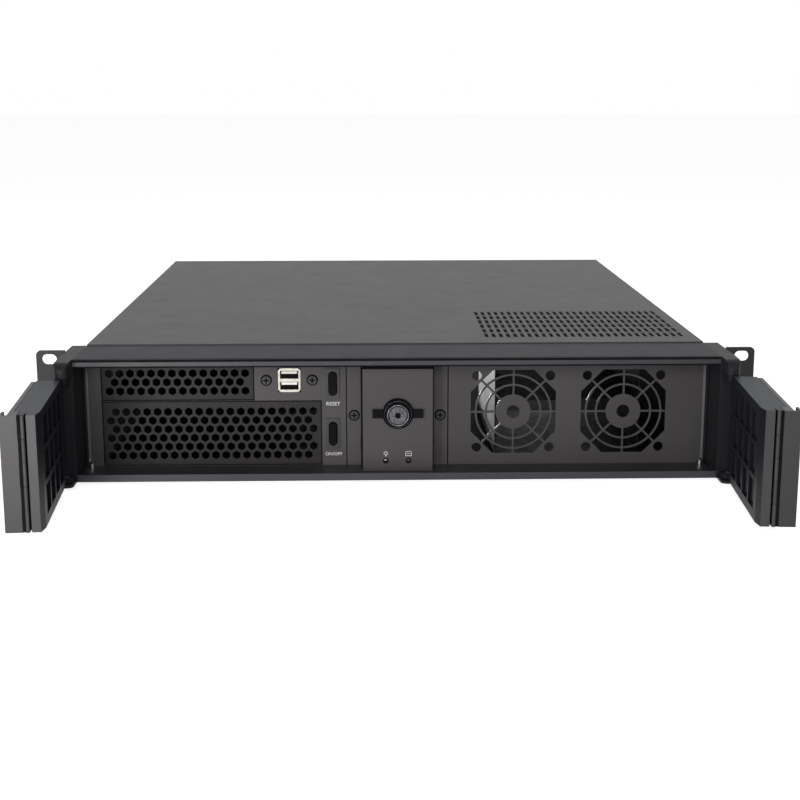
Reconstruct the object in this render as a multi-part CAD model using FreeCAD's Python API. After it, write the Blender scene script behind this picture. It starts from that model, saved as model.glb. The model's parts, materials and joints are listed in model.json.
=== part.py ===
import FreeCAD, Part
import math
import os

# Two-unit rackmount server case, empty, with a pair of folding doors on its front frame.
# X runs across the case, +Y goes to the rear and +Z is up. While it is modelled, the case stands on
# Z = 0 and the front face of the rack ears is Y = 0. It is exported about the middle of the ears.

Vector = FreeCAD.Vector
UP = Vector(0, 0, 1)
REARWARD = Vector(0, 1, 0)
RIGHTWARD = Vector(1, 0, 0)

# Rack panel standard
RACK_WIDTH = 482.6
RACK_HEIGHT = 88.1
RACK_HOLE_INSET_X = 8.75
RACK_HOLE_INSET_Z = 5.95
RACK_SLOT_LENGTH = 10.0
RACK_SLOT_HEIGHT = 7.0
EAR_THICKNESS = 2.0
EAR_CORNER_RADIUS = 3.0
EAR_FLANGE_DEPTH = 20.0
EAR_FLANGE_INSET = 12.0
EAR_REACH = 19.3

# Housing
CASE_REAR = 500.0
CHEEK_WIDTH = 10.0
FRAME_HALF_WIDTH = RACK_WIDTH / 2 - EAR_REACH
BODY_HALF_WIDTH = FRAME_HALF_WIDTH - CHEEK_WIDTH
BODY_DROP = 0.4
BODY_TOP = RACK_HEIGHT - BODY_DROP
SHEET = 1.2
SHEET_CLEARANCE = 0.2
WALL_OUTER = BODY_HALF_WIDTH - SHEET - SHEET_CLEARANCE
WALL_INNER = WALL_OUTER - SHEET
WALL_TOP = BODY_TOP - SHEET
PLATE_FRONT = 6.7
WALL_FLANGE = 9.0
COVER_FRONT = 25.3
COVER_SKIRT = 13.0
EDGE_REACH = 0.01

# Front frame
FRAME_BOTTOM = 4.7
FRAME_DROP = 1.1
FRAME_TOP = RACK_HEIGHT - FRAME_DROP
FRAME_FRONT = -28.0
FRAME_REAR = 25.0
HOOD_THICKNESS = 1.5
HOOD_BAND_HEIGHT = 4.7
HOOD_BAND_DEPTH = 3.0
HOOD_RETURN = 8.0
HOOD_GROOVE_WIDTH = 1.4
HOOD_GROOVE_DEPTH = 0.8
LIP_HEIGHT = 4.8
LIP_DEPTH = 2.5
FLOOR_THICKNESS = 1.5

# Hinge lugs on the cheeks
LUG_HALF_WIDTH = 4.6
LUG_FRONT = -43.0
UPPER_LUG_HEIGHT = 9.6
LOWER_LUG_HEIGHT = 2.0
LUG_CORNER_RADIUS = 4.0
LUG_BROW_RADIUS = 6.5

# Doors
DOOR_AXIS_X = FRAME_HALF_WIDTH - CHEEK_WIDTH / 2
DOOR_AXIS_Y = -36.5
DOOR_OPEN_ANGLE = 85.7
DOOR_BOTTOM = 7.0
DOOR_DROP = 10.0
DOOR_TOP = FRAME_TOP - DOOR_DROP
LEAF_START = 7.5
OUTER_LEAF_START = 11.0
OUTER_LEAF_TIP_X = 12.0
FOLD_REACH = (DOOR_AXIS_X - OUTER_LEAF_TIP_X + OUTER_LEAF_START) / 2
FOLD_AXIS_W = 9.1
INNER_LEAF_DEPTH = 14.9
INNER_LEAF_END_DEPTH = 11.7
LEAF_FACE = 2.0
LEAF_RIM = 3.0
LEAF_CHAMFER_LENGTH = 9.0
LEAF_CHAMFER_DEPTH = 1.6
END_GROOVE_FRONT = 7.0
END_GROOVE_WIDTH = 1.0
END_GROOVE_DEPTH = 4.0
FILTER_THICKNESS = 3.0
OUTER_LEAF_THICKNESS = 2.6
LEAF_GAP = 0.3
POST_LENGTH = 11.0
POST_INNER_W = 12.1
POST_OUTER_W = 22.2
POST_WALL = 1.6
WINDOW_COLUMNS = 4
WINDOW_ROWS = 3
WINDOW_BAR = 3.0
WINDOW_MARGIN = 6.0
HINGE_PIN_RADIUS = 1.5
HINGE_EAR_RADIUS = 4.0
HINGE_EAR_HEIGHT = 4.0
HINGE_PIN_HEAD_RADIUS = 2.6
HINGE_PIN_HEAD_HEIGHT = 0.8
FOLD_PIN_RADIUS = 0.6
FOLD_BARREL_RADIUS = 1.1
FOLD_KNUCKLES = 5
RUNNING_FIT = 0.06
KNUCKLE_GAP = 0.3

# Perforated bay covers
COVER_THICKNESS = 1.0
BAY_SIDE_GAP = 9.7
BAY_LEFT = BAY_SIDE_GAP - WALL_INNER
BAY_BOTTOM = 7.1
BAY_DROP = 6.6
BAY_TOP = FRAME_TOP - BAY_DROP
BAY_SPLIT_SHARE = 0.5874
BAY_SPLIT_GAP = 1.7
LARGE_COVER_GAP = 8.2
SMALL_COVER_GAP = 24.5
COVER_GAP = 0.7
HEX_PITCH = 7.05
HEX_ROW_PITCH = 6.1
HEX_FLATS = 5.0
HEX_SIDE_MARGIN = 5.1
HEX_END_MARGIN = 5.0
HEX_FOOT_MARGIN = 5.9
LARGE_TOP_MARGIN = 6.7
SMALL_TOP_MARGIN = 9.6

# Fan grilles
FAN_PITCH_SHARE = 0.43
FAN_MIDDLE_SHARE = 0.4723
FAN_LEVEL_SHARE = 0.488
FAN_OPENING_SHARE = 0.385
FAN_HOLE_SPAN_SHARE = 1.724
FAN_FLAT_SHARE = 0.483
FAN_RING_SHARES = (0.645, 0.886)
FAN_HUB_SHARE = 0.414
FAN_HUB_HOLE_SHARE = 0.152
FAN_HOLE_RADIUS = 3.25
FAN_WIRE = 1.4
FAN_SPOKES = 8

# Lock box, knob and cylinder
LOCK_HALF_WIDTH = 23.5
LOCK_FLANGE_HALF = 34.2
LOCK_FRONT = -11.0
LOCK_BOTTOM = 6.3
LOCK_DROP = 0.5
LOCK_TOP = DOOR_TOP - LOCK_DROP
LOCK_LEVEL_SHARE = 0.5278
LOCK_SCREW_X = 29.3
LOCK_SCREW_DROP = 5.1
LOCK_NOTCH_DEPTH = 1.5
LOCK_NOTCH = (19.0, 26.0)
KNOB_RADIUS = 10.3
KNOB_DEPTH = 3.6
KNOB_BEVEL = 1.4
KNOB_SHAFT_RADIUS = 6.0
WING_REACH = 17.0
WING_HEIGHT = 5.8
WING_SHOULDER = 8.3
WING_DEPTH = 2.6
CYLINDER_RADIUS = 7.6
CYLINDER_DEPTH = 8.0
CYLINDER_RECESS = 1.0
KEYHOLE_RADIUS = 2.0
KEY_SLOT_LENGTH = 7.4
KEY_SLOT_HEIGHT = 1.5
LIGHT_X = (-8.1, 7.2)
LIGHT_Z = 13.6
LIGHT_RADIUS = 1.5

# Buttons
BUTTON_GAP = 9.6
BUTTON_X = -LOCK_FLANGE_HALF - BUTTON_GAP
BUTTON_WIDTH = 5.2
BUTTON_HEIGHT = 16.1
RESET_LEVEL_SHARE = 0.7196
POWER_LEVEL_SHARE = 0.3246
HOUSING_WIDTH = 9.1
HOUSING_HEIGHT = 21.2
HOUSING_PROUD = 1.2
HOUSING_BODY_WALL = 1.0
HOUSING_DEPTH = 9.5
BUTTON_PROUD = 2.2
BUTTON_TRAVEL = 1.5
BUTTON_CLEARANCE = 0.3

# USB sockets
USB_OFFSET = 29.3
USB_LEVEL_SHARE = 0.7469
USB_WIDTH = 15.2
USB_HEIGHT = 16.4
USB_CORNER = 1.6
USB_PROUD = 0.5
USB_DEPTH = 14.0
USB_PORT_WIDTH = 12.4
USB_PORT_HEIGHT = 5.4
USB_PORT_PITCH = 7.6
USB_TONGUE_WIDTH = 10.6
USB_TONGUE_HEIGHT = 1.9
USB_TONGUE_DEPTH = 11.0
USB_SCREW_SPAN = 31.1
USB_BRACKET_WIDTH = 40.0
USB_BRACKET_HEIGHT = 21.0

# Screws
SCREW_RADIUS = 3.3
SCREW_HEAD = 1.4
SCREW_BEVEL = 0.5
SCREW_SHANK_RADIUS = 1.5
CROSS_WIDTH = 1.0
CROSS_REACH = 2.0
CROSS_DEPTH = 0.8
RAIL_SCREW_INSET = 4.0
RAIL_SCREW_RADIUS = 1.6
RAIL_SCREW_HEIGHT = 3.0
SIDE_SCREW_FRONT = 70.0
SIDE_SCREW_REAR_GAPS = (240.0, 50.0)
SIDE_SCREW_DROP = 7.0

# Vent field in the top cover
VENT_LEFT = 60.0
VENT_FRONT = 44.0
VENT_MARGIN = 3.0
VENT_SIDE_GAP = 5.7
VENT_ROWS = 6
VENT_COLUMN_PITCH = 5.1
VENT_ROW_PITCH = 19.8
VENT_SLOT_WIDTH = 2.6
VENT_SLOT_LENGTH = 15.5

# Inside
CAGE_SHEET = 1.0
CAGE_REAR = 176.0
CAGE_FLOOR = 5.6
CAGE_DROP = 5.5
DISK_CAGE_INSET = 139.4
DISK_CAGE_WIDTH = 103.0
DISK_CAGE_FRONT = 45.0
DISK_CAGE_LENGTH = 145.0
DISK_CAGE_DROP = 8.0
DISK_SHELF_SHARE = 0.4824
BAR_SHARE = 0.6
BAR_WIDTH = 14.0
BAR_HEIGHT = 9.0
STANDOFF_HEIGHT = 6.5
STANDOFF_FLATS = 5.0
STANDOFF_SIDE_GAP = 19.4
STANDOFF_MIDDLE_X = -60.0
STANDOFF_RAIL_GAP = 20.0
STANDOFF_ROW_SHARES = (0.2438, 0.7222, 0.9383)
RAIL_INSET = 104.4
RAIL_LENGTH = 130.0
RAIL_HEIGHT = 18.0

# Rear panel
SUPPLY_INSET = 99.4
SUPPLY_WIDTH = 94.0
SUPPLY_BOTTOM = 8.0
SUPPLY_HEADROOM = 10.5
IO_OFFSET = 168.0
IO_WIDTH = 158.75
IO_BOTTOM = 8.5
IO_HEIGHT = 44.45
SLOT_OFFSET = 16.7
SLOT_PITCH = 20.32
SLOT_SIDE_GAP = 3.0
SLOT_OPENING_WIDTH = 13.0
SLOT_BOTTOM = 9.0
SLOT_HEADROOM = 11.5
SLOT_COVER_WIDTH = 18.4
SLOT_COVER_MARGIN = 3.5
REAR_VENT_GAP_SHARE = 0.18
REAR_VENT_HEIGHT_SHARE = 0.596
REAR_VENT_PITCH = 6.0
REAR_VENT_SLOT = 3.4
REAR_VENT_EDGE = 3.0

# Worked out from the sizes above
PLATE_REAR = PLATE_FRONT + SHEET
USB_X = BUTTON_X - USB_OFFSET
USB_Z = RACK_HEIGHT * USB_LEVEL_SHARE
RESET_Z = RACK_HEIGHT * RESET_LEVEL_SHARE
POWER_Z = RACK_HEIGHT * POWER_LEVEL_SHARE
LOCK_Z = RACK_HEIGHT * LOCK_LEVEL_SHARE
LOCK_SCREW_Z = LOCK_Z - LOCK_SCREW_DROP
BAY_SPLIT_Z = RACK_HEIGHT * BAY_SPLIT_SHARE
LARGE_COVER = (BAY_LEFT, BUTTON_X - LARGE_COVER_GAP, BAY_BOTTOM, BAY_SPLIT_Z - BAY_SPLIT_GAP / 2)
SMALL_COVER = (BAY_LEFT, USB_X - SMALL_COVER_GAP, BAY_SPLIT_Z + BAY_SPLIT_GAP / 2, BAY_TOP)
FAN_ROOM = WALL_INNER - LOCK_FLANGE_HALF
FAN_PITCH = FAN_ROOM * FAN_PITCH_SHARE
FAN_MIDDLE = LOCK_FLANGE_HALF + FAN_ROOM * FAN_MIDDLE_SHARE
FAN_X = (FAN_MIDDLE - FAN_PITCH / 2, FAN_MIDDLE + FAN_PITCH / 2)
FAN_Z = RACK_HEIGHT * FAN_LEVEL_SHARE
FAN_OPENING_HALF = FAN_PITCH * FAN_OPENING_SHARE
FAN_OPENING_FLAT = FAN_OPENING_HALF * FAN_FLAT_SHARE
FAN_HOLE_SPAN = FAN_OPENING_HALF * FAN_HOLE_SPAN_SHARE
FAN_HUB_RADIUS = FAN_OPENING_HALF * FAN_HUB_SHARE
FAN_HUB_HOLE_RADIUS = FAN_OPENING_HALF * FAN_HUB_HOLE_SHARE
RAIL_SCREW_X = BODY_HALF_WIDTH - RAIL_SCREW_INSET
SIDE_SCREW_Y = [SIDE_SCREW_FRONT] + [CASE_REAR - gap for gap in SIDE_SCREW_REAR_GAPS]
CAGE_TOP = FRAME_TOP - CAGE_DROP
DISK_CAGE_LEFT = WALL_INNER - DISK_CAGE_INSET
DISK_CAGE_TOP = FRAME_TOP - DISK_CAGE_DROP
DISK_SHELF_Z = RACK_HEIGHT * DISK_SHELF_SHARE
BAR_Y = CASE_REAR * BAR_SHARE
RAIL_X = WALL_INNER - RAIL_INSET
STANDOFF_X = (STANDOFF_SIDE_GAP - WALL_INNER, STANDOFF_MIDDLE_X, RAIL_X - STANDOFF_RAIL_GAP)
STANDOFF_Y = [CAGE_REAR + (CASE_REAR - CAGE_REAR) * share for share in STANDOFF_ROW_SHARES]
SUPPLY_LEFT = WALL_INNER - SUPPLY_INSET
SUPPLY_HEIGHT = WALL_TOP - SUPPLY_HEADROOM - SUPPLY_BOTTOM
IO_LEFT = SUPPLY_LEFT - IO_OFFSET
FIRST_SLOT_X = IO_LEFT - SLOT_OFFSET
SLOT_ROOM = WALL_INNER + FIRST_SLOT_X - SLOT_COVER_WIDTH / 2 - SLOT_SIDE_GAP
SLOT_COUNT = int(SLOT_ROOM / SLOT_PITCH) + 1
SLOT_HEIGHT = WALL_TOP - SLOT_HEADROOM - SLOT_BOTTOM
REAR_VENT_ROOM = WALL_TOP - IO_BOTTOM - IO_HEIGHT
REAR_VENT_BOTTOM = IO_BOTTOM + IO_HEIGHT + REAR_VENT_ROOM * REAR_VENT_GAP_SHARE
REAR_VENT_HEIGHT = REAR_VENT_ROOM * REAR_VENT_HEIGHT_SHARE
VENT_FIELD_WIDTH = BODY_HALF_WIDTH - VENT_SIDE_GAP - VENT_LEFT - 2 * VENT_MARGIN - VENT_SLOT_WIDTH
VENT_COLUMNS = round(VENT_FIELD_WIDTH / VENT_COLUMN_PITCH) + 1
HOOD_UNDERSIDE = FRAME_TOP - HOOD_THICKNESS
BAND_BOTTOM = FRAME_TOP - HOOD_BAND_HEIGHT
FLOOR_TOP = FRAME_BOTTOM + FLOOR_THICKNESS
PANEL_FRONT = CASE_REAR - SHEET
OUTER_LEAF_INNER_W = INNER_LEAF_DEPTH + LEAF_GAP
OUTER_LEAF_OUTER_W = OUTER_LEAF_INNER_W + OUTER_LEAF_THICKNESS
POST_START = FOLD_REACH - POST_LENGTH
VENT_RIGHT = VENT_LEFT + 2 * VENT_MARGIN + (VENT_COLUMNS - 1) * VENT_COLUMN_PITCH + VENT_SLOT_WIDTH
VENT_REAR = VENT_FRONT + 2 * VENT_MARGIN + (VENT_ROWS - 1) * VENT_ROW_PITCH + VENT_SLOT_LENGTH


def box(x0, x1, y0, y1, z0, z1):
    return Part.makeBox(x1 - x0, y1 - y0, z1 - z0, Vector(x0, y0, z0))


def rod_y(x, z, radius, y0, y1):
    return Part.makeCylinder(radius, y1 - y0, Vector(x, y0, z), REARWARD)


def rod_z(x, y, radius, z0, z1):
    return Part.makeCylinder(radius, z1 - z0, Vector(x, y, z0), UP)


def front_edges(shape, y):
    return [edge for edge in shape.Edges if edge.BoundBox.YMax < y + EDGE_REACH]


def prism(points, along):
    wire = Part.makePolygon(points + [points[0]])
    return Part.Face(wire).extrude(along)


def oblong_y(x, z, width, height, y0, y1):
    # An upright slot shape with round ends, pushed along Y.
    radius = width / 2
    reach = height / 2 - radius
    middle = box(x - radius, x + radius, y0, y1, z - reach, z + reach)
    ends = [rod_y(x, z + side * reach, radius, y0, y1) for side in (-1, 1)]
    return middle.fuse(ends).removeSplitter()


def hexagon_y(x, z, flats, y0, y1):
    radius = flats / math.sqrt(3)
    corners = [math.radians(60 * i + 30) for i in range(6)]
    points = [Vector(x + radius * math.cos(a), y0, z + radius * math.sin(a)) for a in corners]
    return prism(points, Vector(0, y1 - y0, 0))


def mirrored(shape):
    return shape.mirror(Vector(0, 0, 0), RIGHTWARD)


def cut_all(shape, tools):
    return shape.cut(Part.Compound(tools))


def save(name, shape):
    moved = shape.copy()
    moved.translate(Vector(0, 0, -RACK_HEIGHT / 2))
    moved.exportStep("parts/" + name + ".step")


def save_pair(name, left_shape):
    save("left_" + name, left_shape)
    save("right_" + name, mirrored(left_shape))


def phillips_screw(x, y, z, radius):
    # A round head that faces the front, with a cross recess and a short shank behind it.
    head = rod_y(x, z, radius, y - SCREW_HEAD, y)
    head = head.makeChamfer(SCREW_BEVEL, front_edges(head, y - SCREW_HEAD))
    shank = rod_y(x, z, SCREW_SHANK_RADIUS, y, y + SHEET)
    front = y - SCREW_HEAD
    across = box(x - CROSS_REACH, x + CROSS_REACH, front, front + CROSS_DEPTH,
                 z - CROSS_WIDTH / 2, z + CROSS_WIDTH / 2)
    upright = box(x - CROSS_WIDTH / 2, x + CROSS_WIDTH / 2, front, front + CROSS_DEPTH,
                  z - CROSS_REACH, z + CROSS_REACH)
    return head.fuse(shank).cut(across.fuse(upright))


# Body of sheet metal

def chassis_base():
    floor = box(-WALL_OUTER, WALL_OUTER, PLATE_FRONT, CASE_REAR, 0, SHEET)
    walls = []
    for side in (-1, 1):
        outer = side * WALL_OUTER
        inner = side * WALL_INNER
        lip = side * (WALL_INNER - WALL_FLANGE)
        walls.append(box(min(outer, inner), max(outer, inner), PLATE_FRONT, FRAME_REAR, 0, HOOD_UNDERSIDE))
        walls.append(box(min(outer, inner), max(outer, inner), FRAME_REAR, CASE_REAR, 0, WALL_TOP))
        walls.append(box(min(inner, lip), max(inner, lip), FRAME_REAR, PANEL_FRONT,
                         WALL_TOP - SHEET, WALL_TOP))
    return floor.fuse(walls).removeSplitter()


def slot_x(index):
    return FIRST_SLOT_X - index * SLOT_PITCH


def rear_panel():
    panel = box(-WALL_INNER, WALL_INNER, PANEL_FRONT, CASE_REAR, SHEET, WALL_TOP)
    reach = (PANEL_FRONT - SHEET, CASE_REAR + SHEET)
    tools = [box(IO_LEFT, IO_LEFT + IO_WIDTH, *reach, IO_BOTTOM, IO_BOTTOM + IO_HEIGHT)]
    tools.append(box(SUPPLY_LEFT, SUPPLY_LEFT + SUPPLY_WIDTH, *reach,
                     SUPPLY_BOTTOM, SUPPLY_BOTTOM + SUPPLY_HEIGHT))
    tools.append(box(IO_LEFT, IO_LEFT + IO_WIDTH, *reach,
                     REAR_VENT_BOTTOM, REAR_VENT_BOTTOM + REAR_VENT_HEIGHT))
    half = SLOT_OPENING_WIDTH / 2
    for index in range(SLOT_COUNT):
        middle = slot_x(index)
        tools.append(box(middle - half, middle + half, *reach, SLOT_BOTTOM, SLOT_BOTTOM + SLOT_HEIGHT))
    return cut_all(panel, tools)


def rear_vents():
    grille = box(IO_LEFT, IO_LEFT + IO_WIDTH, PANEL_FRONT, CASE_REAR,
                 REAR_VENT_BOTTOM, REAR_VENT_BOTTOM + REAR_VENT_HEIGHT)
    count = int((IO_WIDTH - 2 * REAR_VENT_EDGE) // REAR_VENT_PITCH)
    first = IO_LEFT + (IO_WIDTH - (count - 1) * REAR_VENT_PITCH) / 2
    half = REAR_VENT_SLOT / 2
    tools = []
    for index in range(count):
        middle = first + index * REAR_VENT_PITCH
        tools.append(box(middle - half, middle + half, PANEL_FRONT - SHEET, CASE_REAR + SHEET,
                         REAR_VENT_BOTTOM + REAR_VENT_EDGE,
                         REAR_VENT_BOTTOM + REAR_VENT_HEIGHT - REAR_VENT_EDGE))
    return cut_all(grille, tools)


def slot_covers():
    half = SLOT_COVER_WIDTH / 2
    covers = []
    for index in range(SLOT_COUNT):
        middle = slot_x(index)
        covers.append(box(middle - half, middle + half, PANEL_FRONT - SHEET, PANEL_FRONT,
                          SLOT_BOTTOM - SLOT_COVER_MARGIN, SLOT_BOTTOM + SLOT_HEIGHT + SLOT_COVER_MARGIN))
    return Part.Compound(covers)


def fan_opening(x, y0, y1):
    # The stamped opening: a square whose four corners give way to the screw holes.
    far = FAN_OPENING_HALF
    flat = FAN_OPENING_FLAT
    corners = [(far, flat), (flat, far), (-flat, far), (-far, flat),
               (-far, -flat), (-flat, -far), (flat, -far), (far, -flat)]
    points = [Vector(x + a, y0, FAN_Z + b) for a, b in corners]
    return prism(points, Vector(0, y1 - y0, 0))


def fan_grille(x):
    # Hub, two rings and eight spokes, cut from the sheet and ending on the opening's edge.
    y0 = PLATE_FRONT
    y1 = PLATE_REAR
    pieces = [rod_y(x, FAN_Z, FAN_HUB_RADIUS, y0, y1)]
    for share in FAN_RING_SHARES:
        radius = FAN_OPENING_HALF * share
        outer = rod_y(x, FAN_Z, radius + FAN_WIRE / 2, y0, y1)
        pieces.append(outer.cut(rod_y(x, FAN_Z, radius - FAN_WIRE / 2, y0, y1)))
    for index in range(FAN_SPOKES):
        spoke = box(x + FAN_HUB_RADIUS / 2, x + 2 * FAN_OPENING_HALF, y0, y1,
                    FAN_Z - FAN_WIRE / 2, FAN_Z + FAN_WIRE / 2)
        spoke.rotate(Vector(x, 0, FAN_Z), REARWARD, 360 / FAN_SPOKES * index)
        pieces.append(spoke)
    grille = pieces[0].fuse(pieces[1:]).common(fan_opening(x, y0, y1))
    return grille.cut(rod_y(x, FAN_Z, FAN_HUB_HOLE_RADIUS, y0, y1)).removeSplitter()


def front_plate():
    plate = box(-WALL_INNER, WALL_INNER, PLATE_FRONT, PLATE_REAR, SHEET, HOOD_UNDERSIDE)
    y0 = PLATE_FRONT - SHEET
    y1 = PLATE_REAR + SHEET
    tools = []
    for x0, x1, z0, z1 in (LARGE_COVER, SMALL_COVER):
        tools.append(box(x0 - COVER_GAP, x1 + COVER_GAP, y0, y1, z0 - COVER_GAP, z1 + COVER_GAP))
    for x in FAN_X:
        tools.append(fan_opening(x, y0, y1))
        for side in (-1, 1):
            for level in (-1, 1):
                tools.append(rod_y(x + side * FAN_HOLE_SPAN / 2, FAN_Z + level * FAN_HOLE_SPAN / 2,
                                   FAN_HOLE_RADIUS, y0, y1))
    for z in (RESET_Z, POWER_Z):
        half_width = HOUSING_WIDTH / 2 - HOUSING_BODY_WALL
        half_height = HOUSING_HEIGHT / 2 - HOUSING_BODY_WALL
        tools.append(box(BUTTON_X - half_width, BUTTON_X + half_width, y0, y1,
                         z - half_height, z + half_height))
    half_width = USB_WIDTH / 2 + SHEET_CLEARANCE
    half_height = USB_HEIGHT / 2 + SHEET_CLEARANCE
    tools.append(box(USB_X - half_width, USB_X + half_width, y0, y1,
                     USB_Z - half_height, USB_Z + half_height))
    holes = [(USB_X + side * USB_SCREW_SPAN / 2, USB_Z) for side in (-1, 1)]
    holes += [(side * LOCK_SCREW_X, LOCK_SCREW_Z) for side in (-1, 1)]
    for x, z in holes:
        tools.append(rod_y(x, z, SCREW_SHANK_RADIUS + RUNNING_FIT, y0, y1))
    return cut_all(plate, tools)


def vent_window(z0, z1):
    return box(VENT_LEFT, VENT_RIGHT, VENT_FRONT, VENT_REAR, z0, z1)


def top_cover():
    sheet = box(-BODY_HALF_WIDTH, BODY_HALF_WIDTH, COVER_FRONT, CASE_REAR + SHEET, WALL_TOP, BODY_TOP)
    sheet = sheet.cut(vent_window(WALL_TOP - SHEET, BODY_TOP + SHEET))
    skirts = []
    for side in (-1, 1):
        outer = side * BODY_HALF_WIDTH
        inner = side * (BODY_HALF_WIDTH - SHEET)
        skirts.append(box(min(outer, inner), max(outer, inner), COVER_FRONT, CASE_REAR + SHEET,
                          BODY_TOP - COVER_SKIRT, WALL_TOP))
    skirts.append(box(-BODY_HALF_WIDTH, BODY_HALF_WIDTH, CASE_REAR, CASE_REAR + SHEET,
                      BODY_TOP - COVER_SKIRT / 2, WALL_TOP))
    cover = sheet.fuse(skirts).removeSplitter()
    holes = []
    for y in SIDE_SCREW_Y:
        for side in (-1, 1):
            start = Vector(side * (BODY_HALF_WIDTH - 2 * SHEET), y, BODY_TOP - SIDE_SCREW_DROP)
            holes.append(Part.makeCylinder(SCREW_SHANK_RADIUS + RUNNING_FIT, 3 * SHEET, start,
                                           Vector(side, 0, 0)))
    return cut_all(cover, holes)


def cover_vents():
    # The slotted field of the cover's sheet: short slots in even columns, front to back.
    field = vent_window(WALL_TOP, BODY_TOP)
    tools = []
    for column in range(VENT_COLUMNS):
        x = VENT_LEFT + VENT_MARGIN + column * VENT_COLUMN_PITCH
        for row in range(VENT_ROWS):
            y = VENT_FRONT + VENT_MARGIN + row * VENT_ROW_PITCH
            tools.append(box(x, x + VENT_SLOT_WIDTH, y, y + VENT_SLOT_LENGTH,
                             WALL_TOP - SHEET, BODY_TOP + SHEET))
    return cut_all(field, tools)


def side_screws():
    screws = []
    for y in SIDE_SCREW_Y:
        for side in (-1, 1):
            out = Vector(side, 0, 0)
            z = BODY_TOP - SIDE_SCREW_DROP
            head = Part.makeCylinder(SCREW_RADIUS, SCREW_HEAD, Vector(side * BODY_HALF_WIDTH, y, z), out)
            shank = Part.makeCylinder(SCREW_SHANK_RADIUS, SHEET,
                                      Vector(side * (BODY_HALF_WIDTH - SHEET), y, z), out)
            screws.append(head.fuse(shank))
    return Part.Compound(screws)


# Front frame

def front_hood():
    sheet = box(-BODY_HALF_WIDTH, BODY_HALF_WIDTH, FRAME_FRONT, FRAME_REAR, HOOD_UNDERSIDE, FRAME_TOP)
    band = box(-BODY_HALF_WIDTH, BODY_HALF_WIDTH, FRAME_FRONT, FRAME_FRONT + HOOD_BAND_DEPTH,
               BAND_BOTTOM, HOOD_UNDERSIDE)
    back = box(-BODY_HALF_WIDTH, BODY_HALF_WIDTH, FRAME_FRONT, FRAME_FRONT + HOOD_RETURN,
               BAND_BOTTOM, BAND_BOTTOM + SHEET)
    hood = sheet.fuse([band, back]).removeSplitter()
    groove_front = FRAME_FRONT + HOOD_BAND_DEPTH / 2
    groove = box(-BODY_HALF_WIDTH, BODY_HALF_WIDTH, groove_front, groove_front + HOOD_GROOVE_WIDTH,
                 FRAME_TOP - HOOD_GROOVE_DEPTH, FRAME_TOP + HOOD_GROOVE_DEPTH)
    return hood.cut(groove)


def bottom_rail():
    floor = box(-BODY_HALF_WIDTH, BODY_HALF_WIDTH, FRAME_FRONT, PLATE_FRONT, FRAME_BOTTOM, FLOOR_TOP)
    lip = box(-BODY_HALF_WIDTH, BODY_HALF_WIDTH, FRAME_FRONT, FRAME_FRONT + LIP_DEPTH,
              FLOOR_TOP, FRAME_BOTTOM + LIP_HEIGHT)
    rail = floor.fuse(lip).removeSplitter()
    screws = [rod_z(side * RAIL_SCREW_X, PLATE_FRONT / 2, RAIL_SCREW_RADIUS / 2 + RUNNING_FIT,
                    FRAME_BOTTOM, FLOOR_TOP) for side in (-1, 1)]
    return cut_all(rail, screws)


def rail_screws():
    screws = []
    for side in (-1, 1):
        x = side * RAIL_SCREW_X
        y = PLATE_FRONT / 2
        head = rod_z(x, y, RAIL_SCREW_RADIUS, FLOOR_TOP, FLOOR_TOP + RAIL_SCREW_HEIGHT)
        shank = rod_z(x, y, RAIL_SCREW_RADIUS / 2, FRAME_BOTTOM, FLOOR_TOP)
        screws.append(head.fuse(shank))
    return Part.Compound(screws)


def hinge_lug(z0, z1):
    # A plate around the hinge axis, with round front corners.
    left = -DOOR_AXIS_X - LUG_HALF_WIDTH
    right = -DOOR_AXIS_X + LUG_HALF_WIDTH
    lug = box(left, right, LUG_FRONT, FRAME_FRONT, z0, z1)
    corners = [edge for edge in lug.Edges
               if edge.BoundBox.ZLength > SHEET and edge.BoundBox.YMax < LUG_FRONT + EDGE_REACH]
    return lug.makeFillet(LUG_CORNER_RADIUS, corners)


def left_cheek():
    front = box(-FRAME_HALF_WIDTH, -BODY_HALF_WIDTH, FRAME_FRONT, PLATE_FRONT, FRAME_BOTTOM, FRAME_TOP)
    rear = box(-FRAME_HALF_WIDTH, -WALL_OUTER, PLATE_FRONT, FRAME_REAR, FRAME_BOTTOM, HOOD_UNDERSIDE)
    rear_top = box(-FRAME_HALF_WIDTH, -BODY_HALF_WIDTH, PLATE_FRONT, FRAME_REAR, HOOD_UNDERSIDE, FRAME_TOP)
    upper = hinge_lug(FRAME_TOP - UPPER_LUG_HEIGHT, FRAME_TOP)
    brow_cut = box(-FRAME_HALF_WIDTH, -BODY_HALF_WIDTH, LUG_FRONT, LUG_FRONT + LUG_BROW_RADIUS,
                   FRAME_TOP - LUG_BROW_RADIUS, FRAME_TOP)
    brow = Part.makeCylinder(LUG_BROW_RADIUS, FRAME_HALF_WIDTH - BODY_HALF_WIDTH,
                             Vector(-FRAME_HALF_WIDTH, LUG_FRONT + LUG_BROW_RADIUS,
                                    FRAME_TOP - LUG_BROW_RADIUS), RIGHTWARD)
    upper = upper.cut(brow_cut.cut(brow))
    lower = hinge_lug(FRAME_BOTTOM, FRAME_BOTTOM + LOWER_LUG_HEIGHT)
    cheek = front.fuse([rear, rear_top, upper, lower]).removeSplitter()
    pocket = box(-FRAME_HALF_WIDTH, -FRAME_HALF_WIDTH + EAR_THICKNESS, 0, EAR_FLANGE_DEPTH,
                 EAR_FLANGE_INSET, RACK_HEIGHT - EAR_FLANGE_INSET)
    bore = rod_z(-DOOR_AXIS_X, DOOR_AXIS_Y, HINGE_PIN_RADIUS + RUNNING_FIT, FRAME_BOTTOM,
                 DOOR_TOP + HINGE_EAR_HEIGHT)
    return cut_all(cheek, [pocket, bore])


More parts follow.
